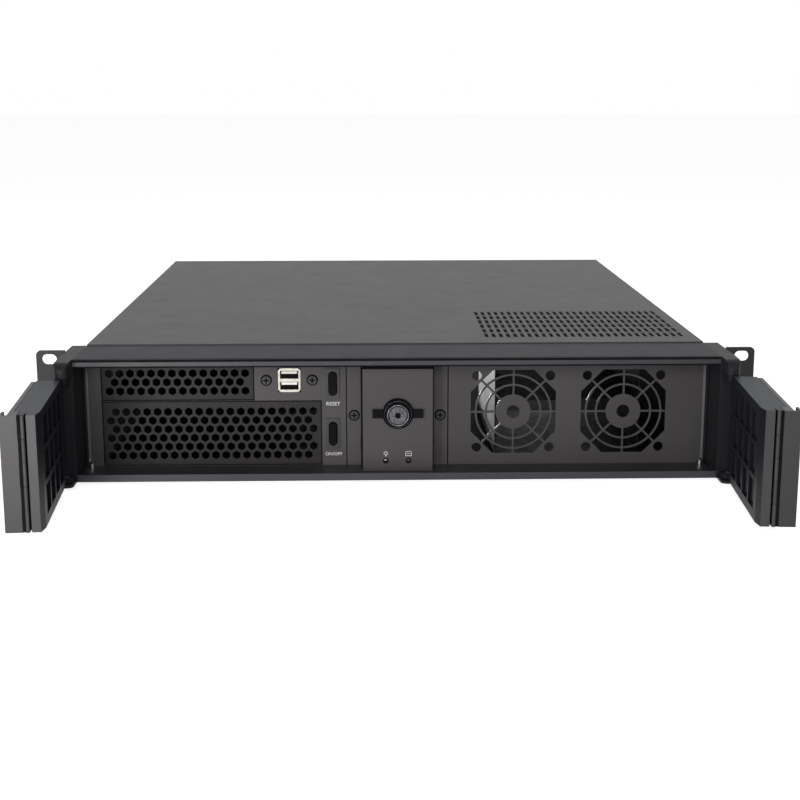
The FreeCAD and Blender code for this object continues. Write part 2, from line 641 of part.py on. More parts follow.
def left_ear():
    outer = RACK_WIDTH / 2
    hole_x = outer - RACK_HOLE_INSET_X
    hole_rise = RACK_HEIGHT / 2 - RACK_HOLE_INSET_Z
    plate = box(-outer, -FRAME_HALF_WIDTH, 0, EAR_THICKNESS, 0, RACK_HEIGHT)
    tips = [edge for edge in plate.Edges
            if edge.BoundBox.YLength > SHEET and edge.BoundBox.XMax < -outer + EDGE_REACH]
    plate = plate.makeFillet(EAR_CORNER_RADIUS, tips)
    flange = box(-FRAME_HALF_WIDTH, -FRAME_HALF_WIDTH + EAR_THICKNESS, 0, EAR_FLANGE_DEPTH,
                 EAR_FLANGE_INSET, RACK_HEIGHT - EAR_FLANGE_INSET)
    ear = plate.fuse(flange).removeSplitter()
    slots = []
    for level in (-1, 1):
        slot = oblong_y(0, 0, RACK_SLOT_HEIGHT, RACK_SLOT_LENGTH, -EAR_THICKNESS, 2 * EAR_THICKNESS)
        slot.rotate(Vector(0, 0, 0), REARWARD, 90)
        slot.translate(Vector(-hole_x, 0, RACK_HEIGHT / 2 + level * hole_rise))
        slots.append(slot)
    return cut_all(ear, slots)


# Bay covers

def honeycomb_cover(outline, top_margin, shifted_first):
    # A flat cover with staggered rows of hexagons; the shifted rows start half a pitch inward.
    x0, x1, z0, z1 = outline
    cover = box(x0, x1, PLATE_REAR - COVER_THICKNESS, PLATE_REAR, z0, z1)
    rows = int((z1 - z0 - top_margin - HEX_FOOT_MARGIN) / HEX_ROW_PITCH) + 1
    tools = []
    for row in range(rows):
        shifted = (row % 2 == 0) == shifted_first
        start = x0 + HEX_SIDE_MARGIN + (HEX_PITCH / 2 if shifted else 0)
        count = int((x1 - start - HEX_END_MARGIN) / HEX_PITCH) + 1
        for column in range(count):
            tools.append(hexagon_y(start + column * HEX_PITCH, z1 - top_margin - row * HEX_ROW_PITCH,
                                   HEX_FLATS, PLATE_FRONT - SHEET, PLATE_REAR + SHEET))
    return cut_all(cover, tools)


def large_bay_cover():
    return honeycomb_cover(LARGE_COVER, LARGE_TOP_MARGIN, True)


def small_bay_cover():
    return honeycomb_cover(SMALL_COVER, SMALL_TOP_MARGIN, False)


# Lock

def lock_box():
    skin = SHEET
    body = box(-LOCK_HALF_WIDTH, LOCK_HALF_WIDTH, LOCK_FRONT, PLATE_FRONT, LOCK_BOTTOM, LOCK_TOP)
    hollow = box(-LOCK_HALF_WIDTH + skin, LOCK_HALF_WIDTH - skin, LOCK_FRONT + skin, PLATE_FRONT,
                 LOCK_BOTTOM + skin, LOCK_TOP - skin)
    flanges = box(-LOCK_FLANGE_HALF, LOCK_FLANGE_HALF, PLATE_FRONT - skin, PLATE_FRONT,
                  LOCK_BOTTOM, LOCK_TOP)
    shell = body.fuse(flanges).cut(hollow).removeSplitter()
    tools = [rod_y(0, LOCK_Z, KNOB_SHAFT_RADIUS + RUNNING_FIT, LOCK_FRONT - skin, LOCK_FRONT + 2 * skin)]
    for x in LIGHT_X:
        tools.append(rod_y(x, LIGHT_Z, LIGHT_RADIUS, LOCK_FRONT - skin, LOCK_FRONT + 2 * skin))
    for side in (-1, 1):
        tools.append(rod_y(side * LOCK_SCREW_X, LOCK_SCREW_Z, SCREW_SHANK_RADIUS + RUNNING_FIT,
                           PLATE_FRONT - 2 * skin, PLATE_FRONT))
        inner = side * LOCK_HALF_WIDTH
        outer = side * (LOCK_HALF_WIDTH + LOCK_NOTCH_DEPTH)
        tools.append(box(min(inner, outer), max(inner, outer), PLATE_FRONT - 2 * skin, PLATE_FRONT,
                         *LOCK_NOTCH))
    return cut_all(shell, tools)


def lock_knob():
    # A round collar with two wings, on a shaft that turns in the lock box.
    face = LOCK_FRONT - BUTTON_CLEARANCE
    collar = rod_y(0, LOCK_Z, KNOB_RADIUS, face - KNOB_DEPTH, face)
    collar = collar.makeChamfer(KNOB_BEVEL, front_edges(collar, face - KNOB_DEPTH))
    tip = WING_HEIGHT / 2
    upper = [(-WING_REACH, tip), (-KNOB_RADIUS, tip), (0, WING_SHOULDER), (KNOB_RADIUS, tip),
             (WING_REACH, tip)]
    lower = [(a, -b) for a, b in reversed(upper)]
    points = [Vector(a, face - WING_DEPTH, LOCK_Z + b) for a, b in upper + lower]
    wings = prism(points, Vector(0, WING_DEPTH, 0))
    shaft = rod_y(0, LOCK_Z, KNOB_SHAFT_RADIUS, face, LOCK_FRONT + 3 * SHEET)
    knob = collar.fuse([wings, shaft]).removeSplitter()
    return knob.cut(rod_y(0, LOCK_Z, CYLINDER_RADIUS, face - KNOB_DEPTH, face - CYLINDER_RECESS))


def lock_cylinder():
    face = LOCK_FRONT - BUTTON_CLEARANCE - CYLINDER_RECESS
    front = LOCK_FRONT - CYLINDER_DEPTH
    barrel = rod_y(0, LOCK_Z, CYLINDER_RADIUS - RUNNING_FIT, front, face)
    barrel = barrel.makeChamfer(CYLINDER_RECESS / 2, front_edges(barrel, front))
    keyhole = rod_y(0, LOCK_Z, KEYHOLE_RADIUS, front, front + 3 * CYLINDER_RECESS)
    slot = box(-KEY_SLOT_LENGTH / 2, KEY_SLOT_LENGTH / 2, front, front + 3 * CYLINDER_RECESS,
               LOCK_Z - KEY_SLOT_HEIGHT / 2, LOCK_Z + KEY_SLOT_HEIGHT / 2)
    return barrel.cut(keyhole.fuse(slot))


def indicator_lights():
    lights = []
    for x in LIGHT_X:
        lens = rod_y(x, LIGHT_Z, LIGHT_RADIUS - RUNNING_FIT, LOCK_FRONT + SHEET / 2, LOCK_FRONT + 4 * SHEET)
        lights.append(lens)
    return Part.Compound(lights)


# Buttons and sockets

def button_housing(z):
    front = PLATE_FRONT - HOUSING_PROUD
    half_width = HOUSING_WIDTH / 2
    half_height = HOUSING_HEIGHT / 2
    bezel = box(BUTTON_X - half_width, BUTTON_X + half_width, front, PLATE_FRONT,
                z - half_height, z + half_height)
    inner_width = half_width - HOUSING_BODY_WALL
    inner_height = half_height - HOUSING_BODY_WALL
    body = box(BUTTON_X - inner_width, BUTTON_X + inner_width, PLATE_FRONT, front + HOUSING_DEPTH,
               z - inner_height, z + inner_height)
    margin = 2 * BUTTON_CLEARANCE
    well = oblong_y(BUTTON_X, z, BUTTON_WIDTH + margin, BUTTON_HEIGHT + margin,
                    front, front + HOUSING_DEPTH - HOUSING_BODY_WALL)
    return bezel.fuse(body).cut(well).removeSplitter()


def button(z):
    housing_front = PLATE_FRONT - HOUSING_PROUD
    front = housing_front - BUTTON_PROUD
    well_floor = housing_front + HOUSING_DEPTH - HOUSING_BODY_WALL
    cap = oblong_y(BUTTON_X, z, BUTTON_WIDTH, BUTTON_HEIGHT, front,
                   well_floor - BUTTON_TRAVEL - BUTTON_CLEARANCE)
    return cap.makeChamfer(BUTTON_CLEARANCE, front_edges(cap, front))


def usb_shell():
    # Two ports in one clipped-corner shell, held by the bracket behind the plate.
    half_width = USB_WIDTH / 2
    half_height = USB_HEIGHT / 2
    front = PLATE_FRONT - USB_PROUD
    clip = USB_CORNER
    corners = [(half_width, half_height - clip), (half_width - clip, half_height),
               (clip - half_width, half_height), (-half_width, half_height - clip),
               (-half_width, clip - half_height), (clip - half_width, -half_height),
               (half_width - clip, -half_height), (half_width, clip - half_height)]
    points = [Vector(USB_X + a, front, USB_Z + b) for a, b in corners]
    shell = prism(points, Vector(0, USB_DEPTH, 0))
    ports = []
    for level in (-1, 1):
        z = USB_Z + level * USB_PORT_PITCH / 2
        ports.append(box(USB_X - USB_PORT_WIDTH / 2, USB_X + USB_PORT_WIDTH / 2, front,
                         front + USB_TONGUE_DEPTH + USB_PROUD,
                         z - USB_PORT_HEIGHT / 2, z + USB_PORT_HEIGHT / 2))
    return cut_all(shell, ports)


def usb_tongues():
    front = PLATE_FRONT - USB_PROUD
    tongues = []
    for level in (-1, 1):
        z = USB_Z + level * USB_PORT_PITCH / 2 + USB_PORT_HEIGHT / 2 - USB_TONGUE_HEIGHT
        tongues.append(box(USB_X - USB_TONGUE_WIDTH / 2, USB_X + USB_TONGUE_WIDTH / 2,
                           front + USB_PROUD, front + USB_TONGUE_DEPTH + USB_PROUD,
                           z - SHEET_CLEARANCE, z + USB_TONGUE_HEIGHT - 2 * SHEET_CLEARANCE))
    return Part.Compound(tongues)


def usb_bracket():
    half_width = USB_BRACKET_WIDTH / 2
    half_height = USB_BRACKET_HEIGHT / 2
    bracket = box(USB_X - half_width, USB_X + half_width, PLATE_REAR, PLATE_REAR + SHEET,
                  USB_Z - half_height, USB_Z + half_height)
    return bracket.cut(box(USB_X - USB_WIDTH / 2, USB_X + USB_WIDTH / 2, PLATE_REAR, PLATE_REAR + SHEET,
                           USB_Z - USB_HEIGHT / 2, USB_Z + USB_HEIGHT / 2))


def front_screws():
    screws = [phillips_screw(USB_X + side * USB_SCREW_SPAN / 2, PLATE_FRONT, USB_Z, SCREW_RADIUS)
              for side in (-1, 1)]
    for side in (-1, 1):
        screws.append(phillips_screw(side * LOCK_SCREW_X, PLATE_FRONT - SHEET, LOCK_SCREW_Z, SCREW_RADIUS))
    return Part.Compound(screws)


# Inside of the case

def drive_cage():
    # Upright walls and shelves round the two drive bays, open at the front and the rear.
    y0 = PLATE_REAR
    left = LARGE_COVER[0] + SHEET_CLEARANCE
    right = LARGE_COVER[1] - SHEET_CLEARANCE
    middle = SMALL_COVER[1] - SHEET_CLEARANCE
    shelf = (LARGE_COVER[3] + SMALL_COVER[2]) / 2
    sheets = [box(left - CAGE_SHEET, left, y0, CAGE_REAR, SHEET, CAGE_TOP)]
    sheets.append(box(right, right + CAGE_SHEET, y0, CAGE_REAR, SHEET, shelf + CAGE_SHEET))
    sheets.append(box(middle, middle + CAGE_SHEET, y0, CAGE_REAR, shelf, CAGE_TOP))
    sheets.append(box(left, right, y0, CAGE_REAR, CAGE_FLOOR, CAGE_FLOOR + CAGE_SHEET))
    sheets.append(box(left, right, y0, CAGE_REAR, shelf, shelf + CAGE_SHEET))
    sheets.append(box(left, middle + CAGE_SHEET, y0, CAGE_REAR, CAGE_TOP - CAGE_SHEET, CAGE_TOP))
    return sheets[0].fuse(sheets[1:]).removeSplitter()


def disk_cage():
    left = DISK_CAGE_LEFT
    right = left + DISK_CAGE_WIDTH
    y0 = DISK_CAGE_FRONT
    y1 = y0 + DISK_CAGE_LENGTH
    sheets = [box(left, left + CAGE_SHEET, y0, y1, SHEET, DISK_CAGE_TOP)]
    sheets.append(box(right - CAGE_SHEET, right, y0, y1, SHEET, DISK_CAGE_TOP))
    sheets.append(box(left, right, y0, y1, SHEET, SHEET + CAGE_SHEET))
    sheets.append(box(left, right, y0, y1, DISK_SHELF_Z, DISK_SHELF_Z + CAGE_SHEET))
    sheets.append(box(left, right, y0, y1, DISK_CAGE_TOP - CAGE_SHEET, DISK_CAGE_TOP))
    return sheets[0].fuse(sheets[1:]).removeSplitter()


def cross_bar():
    top = WALL_TOP - SHEET
    y1 = BAR_Y + BAR_WIDTH
    channel = box(-WALL_INNER, WALL_INNER, BAR_Y, y1, top - BAR_HEIGHT, top)
    hollow = box(-WALL_INNER, WALL_INNER, BAR_Y + SHEET, y1 - SHEET, top - BAR_HEIGHT, top - SHEET)
    return channel.cut(hollow)


def board_standoffs():
    posts = []
    radius = STANDOFF_FLATS / math.sqrt(3)
    corners = [math.radians(60 * i) for i in range(6)]
    for x in STANDOFF_X:
        for y in STANDOFF_Y:
            points = [Vector(x + radius * math.cos(a), y + radius * math.sin(a), SHEET) for a in corners]
            posts.append(prism(points, Vector(0, 0, STANDOFF_HEIGHT)))
    return Part.Compound(posts)


def power_supply_rail():
    y0 = PANEL_FRONT - RAIL_LENGTH
    foot = box(RAIL_X, RAIL_X + RAIL_HEIGHT / 2, y0, PANEL_FRONT, SHEET, SHEET + CAGE_SHEET)
    wall = box(RAIL_X, RAIL_X + CAGE_SHEET, y0, PANEL_FRONT, SHEET, RAIL_HEIGHT)
    return foot.fuse(wall).removeSplitter()


# Left door, modelled along its own leaf and then turned into place

def leaf_box(u0, u1, w0, w1, z0, z1):
    # u runs from the hinge axis along the leaf and w from its inner face outward.
    return box(u0, u1, -w1, -w0, z0, z1)


def leaf_rod(u, w, radius, z0, z1):
    return rod_z(u, -w, radius, z0, z1)


def place_left(shape):
    moved = shape.copy()
    moved.rotate(Vector(0, 0, 0), UP, -DOOR_OPEN_ANGLE)
    moved.translate(Vector(-DOOR_AXIS_X, DOOR_AXIS_Y, 0))
    return moved


def leaf_windows(u0, u1, w0, w1):
    # A grid of equal windows within the given stretch of the leaf.
    width = (u1 - u0 - (WINDOW_COLUMNS - 1) * WINDOW_BAR) / WINDOW_COLUMNS
    z0 = DOOR_BOTTOM + WINDOW_MARGIN
    height = (DOOR_TOP - WINDOW_MARGIN - z0 - (WINDOW_ROWS - 1) * WINDOW_BAR) / WINDOW_ROWS
    windows = []
    for column in range(WINDOW_COLUMNS):
        u = u0 + column * (width + WINDOW_BAR)
        for row in range(WINDOW_ROWS):
            z = z0 + row * (height + WINDOW_BAR)
            windows.append(leaf_box(u, u + width, w0, w1, z, z + height))
    return windows


def fold_knuckles(first):
    # Every second knuckle of the fold hinge, as spans along Z.
    height = (DOOR_TOP - DOOR_BOTTOM) / FOLD_KNUCKLES
    spans = []
    for index in range(first, FOLD_KNUCKLES, 2):
        z = DOOR_BOTTOM + index * height
        spans.append((z + KNUCKLE_GAP / 2, z + height - KNUCKLE_GAP / 2))
    return spans


def inner_leaf():
    last = FOLD_REACH - FOLD_BARREL_RADIUS - KNUCKLE_GAP
    bar_end = FOLD_REACH - KNUCKLE_GAP
    step = POST_START - LEAF_GAP
    outline = [(LEAF_START, 0), (FOLD_REACH - LEAF_CHAMFER_LENGTH, 0), (bar_end, LEAF_CHAMFER_DEPTH),
               (bar_end, END_GROOVE_FRONT), (last, END_GROOVE_FRONT), (last, INNER_LEAF_END_DEPTH),
               (step, INNER_LEAF_END_DEPTH), (step, INNER_LEAF_DEPTH), (LEAF_START, INNER_LEAF_DEPTH)]
    height = DOOR_TOP - DOOR_BOTTOM
    body = prism([Vector(u, -w, DOOR_BOTTOM) for u, w in outline], Vector(0, 0, height))
    rim = LEAF_RIM
    pocket = leaf_box(LEAF_START + rim, POST_START - rim, LEAF_FACE, INNER_LEAF_DEPTH,
                      DOOR_BOTTOM + rim, DOOR_TOP - rim)
    windows = leaf_windows(LEAF_START + WINDOW_MARGIN, POST_START - WINDOW_MARGIN, 0, LEAF_FACE)
    groove = leaf_box(last - END_GROOVE_DEPTH, FOLD_REACH, END_GROOVE_FRONT,
                      END_GROOVE_FRONT + END_GROOVE_WIDTH, DOOR_BOTTOM, DOOR_TOP)
    leaf = cut_all(body, [pocket, groove] + windows)
    added = []
    for z0 in (DOOR_BOTTOM, DOOR_TOP - HINGE_EAR_HEIGHT):
        added.append(leaf_rod(0, 0, HINGE_EAR_RADIUS, z0, z0 + HINGE_EAR_HEIGHT))
        added.append(leaf_box(0, LEAF_START, 0, HINGE_EAR_RADIUS, z0, z0 + HINGE_EAR_HEIGHT))
    for z0, z1 in fold_knuckles(0):
        added.append(leaf_rod(FOLD_REACH, FOLD_AXIS_W, FOLD_BARREL_RADIUS, z0, z1))
        added.append(leaf_box(last, FOLD_REACH, FOLD_AXIS_W - FOLD_BARREL_RADIUS,
                              FOLD_AXIS_W + FOLD_BARREL_RADIUS, z0, z1))
    leaf = leaf.fuse(added).removeSplitter()
    bores = [leaf_rod(0, 0, HINGE_PIN_RADIUS + RUNNING_FIT, DOOR_BOTTOM, DOOR_TOP)]
    bores.append(leaf_rod(FOLD_REACH, FOLD_AXIS_W, FOLD_PIN_RADIUS + RUNNING_FIT, DOOR_BOTTOM, DOOR_TOP))
    return cut_all(leaf, bores)


def door_filter():
    rim = LEAF_RIM
    return leaf_box(LEAF_START + rim, POST_START - rim, LEAF_FACE, LEAF_FACE + FILTER_THICKNESS,
                    DOOR_BOTTOM + rim, DOOR_TOP - rim)


def outer_leaf():
    panel = leaf_box(OUTER_LEAF_START, POST_START, OUTER_LEAF_INNER_W, OUTER_LEAF_OUTER_W,
                     DOOR_BOTTOM, DOOR_TOP)
    windows = leaf_windows(OUTER_LEAF_START + WINDOW_MARGIN, POST_START - WINDOW_MARGIN,
                           OUTER_LEAF_INNER_W, OUTER_LEAF_OUTER_W)
    post = leaf_box(POST_START, FOLD_REACH, POST_INNER_W, POST_OUTER_W, DOOR_BOTTOM, DOOR_TOP)
    channel = leaf_box(POST_START, FOLD_REACH - POST_WALL, OUTER_LEAF_OUTER_W, POST_OUTER_W - POST_WALL,
                       DOOR_BOTTOM, DOOR_TOP)
    leaf = cut_all(panel.fuse(post), windows + [channel])
    webs = []
    for z0, z1 in fold_knuckles(1):
        webs.append(leaf_rod(FOLD_REACH, FOLD_AXIS_W, FOLD_BARREL_RADIUS, z0, z1))
        webs.append(leaf_box(FOLD_REACH - FOLD_BARREL_RADIUS, FOLD_REACH, FOLD_AXIS_W, POST_INNER_W, z0, z1))
    leaf = leaf.fuse(webs).removeSplitter()
    return leaf.cut(leaf_rod(FOLD_REACH, FOLD_AXIS_W, FOLD_PIN_RADIUS, DOOR_BOTTOM, DOOR_TOP))


def fold_pin():
    return leaf_rod(FOLD_REACH, FOLD_AXIS_W, FOLD_PIN_RADIUS, DOOR_BOTTOM, DOOR_TOP)


def left_hinge_pins():
    reach = HINGE_EAR_HEIGHT
    upper = rod_z(-DOOR_AXIS_X, DOOR_AXIS_Y, HINGE_PIN_RADIUS, DOOR_TOP - reach, DOOR_TOP + reach)
    lower = rod_z(-DOOR_AXIS_X, DOOR_AXIS_Y, HINGE_PIN_RADIUS, FRAME_BOTTOM, DOOR_BOTTOM + reach)
    head = rod_z(-DOOR_AXIS_X, DOOR_AXIS_Y, HINGE_PIN_HEAD_RADIUS,
                 FRAME_BOTTOM - HINGE_PIN_HEAD_HEIGHT, FRAME_BOTTOM)
    return Part.Compound([upper, lower.fuse(head)])


os.makedirs("parts", exist_ok=True)

save("chassis_base", chassis_base())
save("rear_panel", rear_panel())
save("rear_vents", rear_vents())
save("slot_covers", slot_covers())
save("front_plate", front_plate())
for side_name, fan_x in zip(("left", "right"), FAN_X):
    save(side_name + "_fan_grille", fan_grille(fan_x))
save("top_cover", top_cover())
save("cover_vents", cover_vents())
save("side_screws", side_screws())
save("front_hood", front_hood())
save("bottom_rail", bottom_rail())
save("rail_screws", rail_screws())
save_pair("cheek", left_cheek())
save_pair("rack_ear", left_ear())
save("large_bay_cover", large_bay_cover())
save("small_bay_cover", small_bay_cover())
save("lock_box", lock_box())
save("lock_knob", lock_knob())
save("lock_cylinder", lock_cylinder())
save("indicator_lights", indicator_lights())
for button_name, button_z in (("reset", RESET_Z), ("power", POWER_Z)):
    save(button_name + "_housing", button_housing(button_z))
    save(button_name + "_button", button(button_z))
save("usb_shell", usb_shell())
save("usb_tongues", usb_tongues())
save("usb_bracket", usb_bracket())
save("front_screws", front_screws())
save("drive_cage", drive_cage())
save("disk_cage", disk_cage())
save("cross_bar", cross_bar())
save("board_standoffs", board_standoffs())
save("power_supply_rail", power_supply_rail())
save_pair("door_leaf", place_left(inner_leaf()))
save_pair("door_filter", place_left(door_filter()))
save_pair("fold_leaf", place_left(outer_leaf()))
save_pair("fold_pin", place_left(fold_pin()))
save_pair("hinge_pins", left_hinge_pins())
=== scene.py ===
# %% [markdown]
# # A two-unit server case with folding front doors
# The metal is already built: every sheet, screw and hinge arrives as a solid at its real size.
# This lesson dresses it. It paints each surface, adds the printed signs and the fine mesh in the
# doors, sets a camera where the photographer stood, and lights the case as in a product studio.

# %% Load the frame
import bpy
import bmesh
import json
import math
from mathutils import Matrix, Vector


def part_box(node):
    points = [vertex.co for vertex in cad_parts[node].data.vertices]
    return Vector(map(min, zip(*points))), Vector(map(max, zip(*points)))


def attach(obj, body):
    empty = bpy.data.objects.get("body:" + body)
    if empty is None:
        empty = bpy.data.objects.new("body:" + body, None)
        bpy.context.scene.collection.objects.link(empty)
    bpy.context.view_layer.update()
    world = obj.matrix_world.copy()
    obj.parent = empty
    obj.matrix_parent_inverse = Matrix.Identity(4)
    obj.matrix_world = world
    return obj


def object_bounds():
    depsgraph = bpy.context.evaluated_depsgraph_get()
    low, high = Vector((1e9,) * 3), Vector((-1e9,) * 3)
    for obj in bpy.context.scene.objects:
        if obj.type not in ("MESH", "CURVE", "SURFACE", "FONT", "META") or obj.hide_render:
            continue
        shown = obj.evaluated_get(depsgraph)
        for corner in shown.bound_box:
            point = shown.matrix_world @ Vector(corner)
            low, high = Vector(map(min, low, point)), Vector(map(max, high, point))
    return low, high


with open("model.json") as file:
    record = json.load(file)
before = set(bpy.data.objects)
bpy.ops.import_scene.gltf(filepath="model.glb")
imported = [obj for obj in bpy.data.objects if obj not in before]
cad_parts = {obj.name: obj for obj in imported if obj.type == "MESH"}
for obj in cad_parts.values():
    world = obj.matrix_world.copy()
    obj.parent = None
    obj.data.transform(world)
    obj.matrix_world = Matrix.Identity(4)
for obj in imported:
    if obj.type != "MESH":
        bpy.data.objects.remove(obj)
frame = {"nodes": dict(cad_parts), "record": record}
cad_low, cad_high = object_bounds()
MM = 0.001

# %% [markdown]
# ## The camera
# The sides of the cover run towards one point far behind the case, and their slant gives the
# lens. The camera looks down by twelve degrees from a metre in front of the rack ears, with a
# lens of 65 mm on a 36 mm sensor. It stands a little left of the middle, so more shows of the
# right door's inner face than of the left one's. A camera could also be aimed at a target, but
# three angles found from the photograph repeat its view more closely.

# %% Camera
CAMERA_PLACE = Vector((-20.58, -955.25, 218.06)) * MM
CAMERA_LENS = 65.10
SENSOR_WIDTH = 36.0
LOOK_DOWN = 12.342
LOOK_RIGHT = 1.339
LOOK_ROLL = -0.043

camera_data = bpy.data.cameras.new("camera")
camera_data.lens = CAMERA_LENS
camera_data.sensor_width = SENSOR_WIDTH
camera = bpy.data.objects.new("camera", camera_data)
bpy.context.scene.collection.objects.link(camera)
turn = Matrix.Rotation(math.radians(-LOOK_RIGHT), 4, "Z")
tilt = Matrix.Rotation(math.radians(90 - LOOK_DOWN), 4, "X")
roll = Matrix.Rotation(math.radians(LOOK_ROLL), 4, "Z")
camera.matrix_world = Matrix.Translation(CAMERA_PLACE) @ turn @ tilt @ roll
bpy.context.scene.camera = camera
print("camera at", [round(v, 3) for v in CAMERA_PLACE], "lens", CAMERA_LENS)

# %% [markdown]
# ## Small helpers for materials
# Every finish here is made of nodes that read Object coordinates, so a pattern keeps its size in
# millimetres and stays on its piece when a door swings. Painted images could do the same, but
# nodes stay sharp at any distance. A value that is the same all over is written on the shader's
# own socket.

# %% A plain finish and a noise
def new_finish(name, colour, roughness, metallic=0.0, shine=0.5):
    material = bpy.data.materials.new(name)
    material.use_nodes = True
    shader = material.node_tree.nodes["Principled BSDF"]
    shader.inputs["Base Color"].default_value = (*colour, 1.0)
    shader.inputs["Roughness"].default_value = roughness
    shader.inputs["Metallic"].default_value = metallic
    shader.inputs["Specular IOR Level"].default_value = shine
    return material, material.node_tree, shader


def object_noise(tree, scale, detail=3.0, stretch=(1.0, 1.0, 1.0)):
    place = tree.nodes.new("ShaderNodeTexCoord")
    mapping = tree.nodes.new("ShaderNodeMapping")
    mapping.inputs["Scale"].default_value = stretch
    noise = tree.nodes.new("ShaderNodeTexNoise")
    noise.inputs["Scale"].default_value = scale
    noise.inputs["Detail"].default_value = detail
    tree.links.new(place.outputs["Object"], mapping.inputs["Vector"])
    tree.links.new(mapping.outputs["Vector"], noise.inputs["Vector"])
    return noise.outputs["Fac"]

print("helpers: a plain finish and a noise")

# %% [markdown]
# ## Variation and relief
# Real paint and metal are never even. A ramp turns noise into a colour between a dark and a
# light one, a range does so for the roughness, and a bump adds the grain. Edges could be rounded
# in the mesh, but the Bevel node rounds them in the shading alone, so no mesh gets heavier.

# %% Helpers for variation
RAMP_START = 0.35
RAMP_END = 0.65
BEVEL_SAMPLES = 4


def vary_colour(tree, shader, factor, dark, light):
    ramp = tree.nodes.new("ShaderNodeValToRGB")
    ramp.color_ramp.elements[0].position = RAMP_START
    ramp.color_ramp.elements[0].color = (*dark, 1.0)
    ramp.color_ramp.elements[1].position = RAMP_END
    ramp.color_ramp.elements[1].color = (*light, 1.0)
    tree.links.new(factor, ramp.inputs["Fac"])
    tree.links.new(ramp.outputs["Color"], shader.inputs["Base Color"])


def vary_roughness(tree, shader, factor, low, high):
    spread = tree.nodes.new("ShaderNodeMapRange")
    spread.inputs["To Min"].default_value = low
    spread.inputs["To Max"].default_value = high
    tree.links.new(factor, spread.inputs["Value"])
    tree.links.new(spread.outputs["Result"], shader.inputs["Roughness"])


def add_relief(tree, shader, height, strength, depth, edge_radius):
    bump = tree.nodes.new("ShaderNodeBump")
    bump.inputs["Strength"].default_value = strength
    bump.inputs["Distance"].default_value = depth
    tree.links.new(height, bump.inputs["Height"])
    bevel = tree.nodes.new("ShaderNodeBevel")
    bevel.samples = BEVEL_SAMPLES
    bevel.inputs["Radius"].default_value = edge_radius
    tree.links.new(bevel.outputs["Normal"], bump.inputs["Normal"])
    tree.links.new(bump.outputs["Normal"], shader.inputs["Normal"])


print("helpers: colour, roughness and relief")
# %% [markdown]
# ## Powder coat
# The outside is steel with a fine powder coat: dark grey, slightly blue, with grains about a third
# of a millimetre wide that break up the shine. The sheet behind the doors has a smoother, warmer
# coat, and the frame round it a darker one. Each could be a material drawn by hand, but one
# function makes them all, and a coat is then its two tones, its grain, its roughness and shine.

# %% Coats of paint
CLOUD_SCALE = 14.0
PATCH_SCALE = 60.0
GRAIN_STRENGTH = 0.55
COAT_EDGE = 0.45 * MM
# A grain is the scale of its noise and its depth.
CASE_GRAIN = (2600.0, 0.030 * MM)
FRAME_GRAIN = (2200.0, 0.022 * MM)
DOOR_GRAIN = (2200.0, 0.020 * MM)
PLATE_GRAIN = (2400.0, 0.016 * MM)


def coat(name, dark, light, grain, rough, shine):
    material, tree, shader = new_finish(name, light, rough[1], 0.0, shine)
    vary_colour(tree, shader, object_noise(tree, CLOUD_SCALE, 4.0), dark, light)
    vary_roughness(tree, shader, object_noise(tree, PATCH_SCALE, 2.0), *rough)
    scale, depth = grain
    add_relief(tree, shader, object_noise(tree, scale, 2.0), GRAIN_STRENGTH, depth, COAT_EDGE)
    return material


CASE_TONES = ((0.036, 0.037, 0.041), (0.042, 0.043, 0.047))
case_coat = coat("case_coat", *CASE_TONES, CASE_GRAIN, (0.46, 0.54), 0.22)
chassis_coat = coat("chassis_coat", *CASE_TONES, CASE_GRAIN, (0.46, 0.54), 0.22)
frame_coat = coat("frame_coat", (0.015, 0.016, 0.020), (0.019, 0.020, 0.025), FRAME_GRAIN, (0.44, 0.52), 0.06)
band_coat = coat("band_coat", (0.026, 0.027, 0.031), (0.033, 0.034, 0.038), FRAME_GRAIN, (0.38, 0.46), 0.22)
# The cheeks are darker than the rest of the frame: painted shade of the recess that they face.
cheek_shade_coat = coat("cheek_shade_coat", (0.008, 0.008, 0.010), (0.011, 0.011, 0.013), FRAME_GRAIN, (0.42, 0.50), 0.10)
ear_coat = coat("ear_coat", (0.026, 0.023, 0.024), (0.033, 0.030, 0.031), FRAME_GRAIN, (0.42, 0.50), 0.12)
# The edge trims are light: a painted highlight for the light that the cut edges catch.
edge_sheen_coat = coat("edge_sheen_coat", (0.070, 0.070, 0.074), (0.105, 0.105, 0.110), FRAME_GRAIN, (0.42, 0.50), 0.20)
cover_coat = coat("cover_coat", (0.013, 0.011, 0.012), (0.017, 0.015, 0.016), PLATE_GRAIN, (0.40, 0.48), 0.12)
plate_coat = coat("plate_coat", (0.034, 0.030, 0.032), (0.040, 0.036, 0.038), PLATE_GRAIN, (0.40, 0.48), 0.24)
door_coat = coat("door_coat", (0.006, 0.007, 0.009), (0.009, 0.010, 0.013), DOOR_GRAIN, (0.42, 0.50), 0.05)
fold_coat = coat("fold_coat", (0.027, 0.025, 0.026), (0.034, 0.032, 0.033), DOOR_GRAIN, (0.38, 0.46), 0.26)
COATS = (case_coat, chassis_coat, frame_coat, band_coat, cheek_shade_coat, ear_coat, edge_sheen_coat, cover_coat,
         plate_coat, door_coat, fold_coat)
print("coats:", [m.name for m in COATS])

# %% [markdown]
# ## Two tones on one solid
# A door leaf has a lighter end face and a lighter upper edge, which is a painted highlight for the light from
# above, and the chassis is painted nearly black inside as shade.
# A second material would need the faces of the solid to be sorted. A mask worked out from Object
# coordinates is simpler: it is one where the second tone goes, and nought elsewhere.

# %% Masks and second tones
# A Mix node has sockets for every kind of value. These are the numbers of its colour ones.
COLOUR_A = 6
COLOUR_B = 7
COLOUR_RESULT = 2


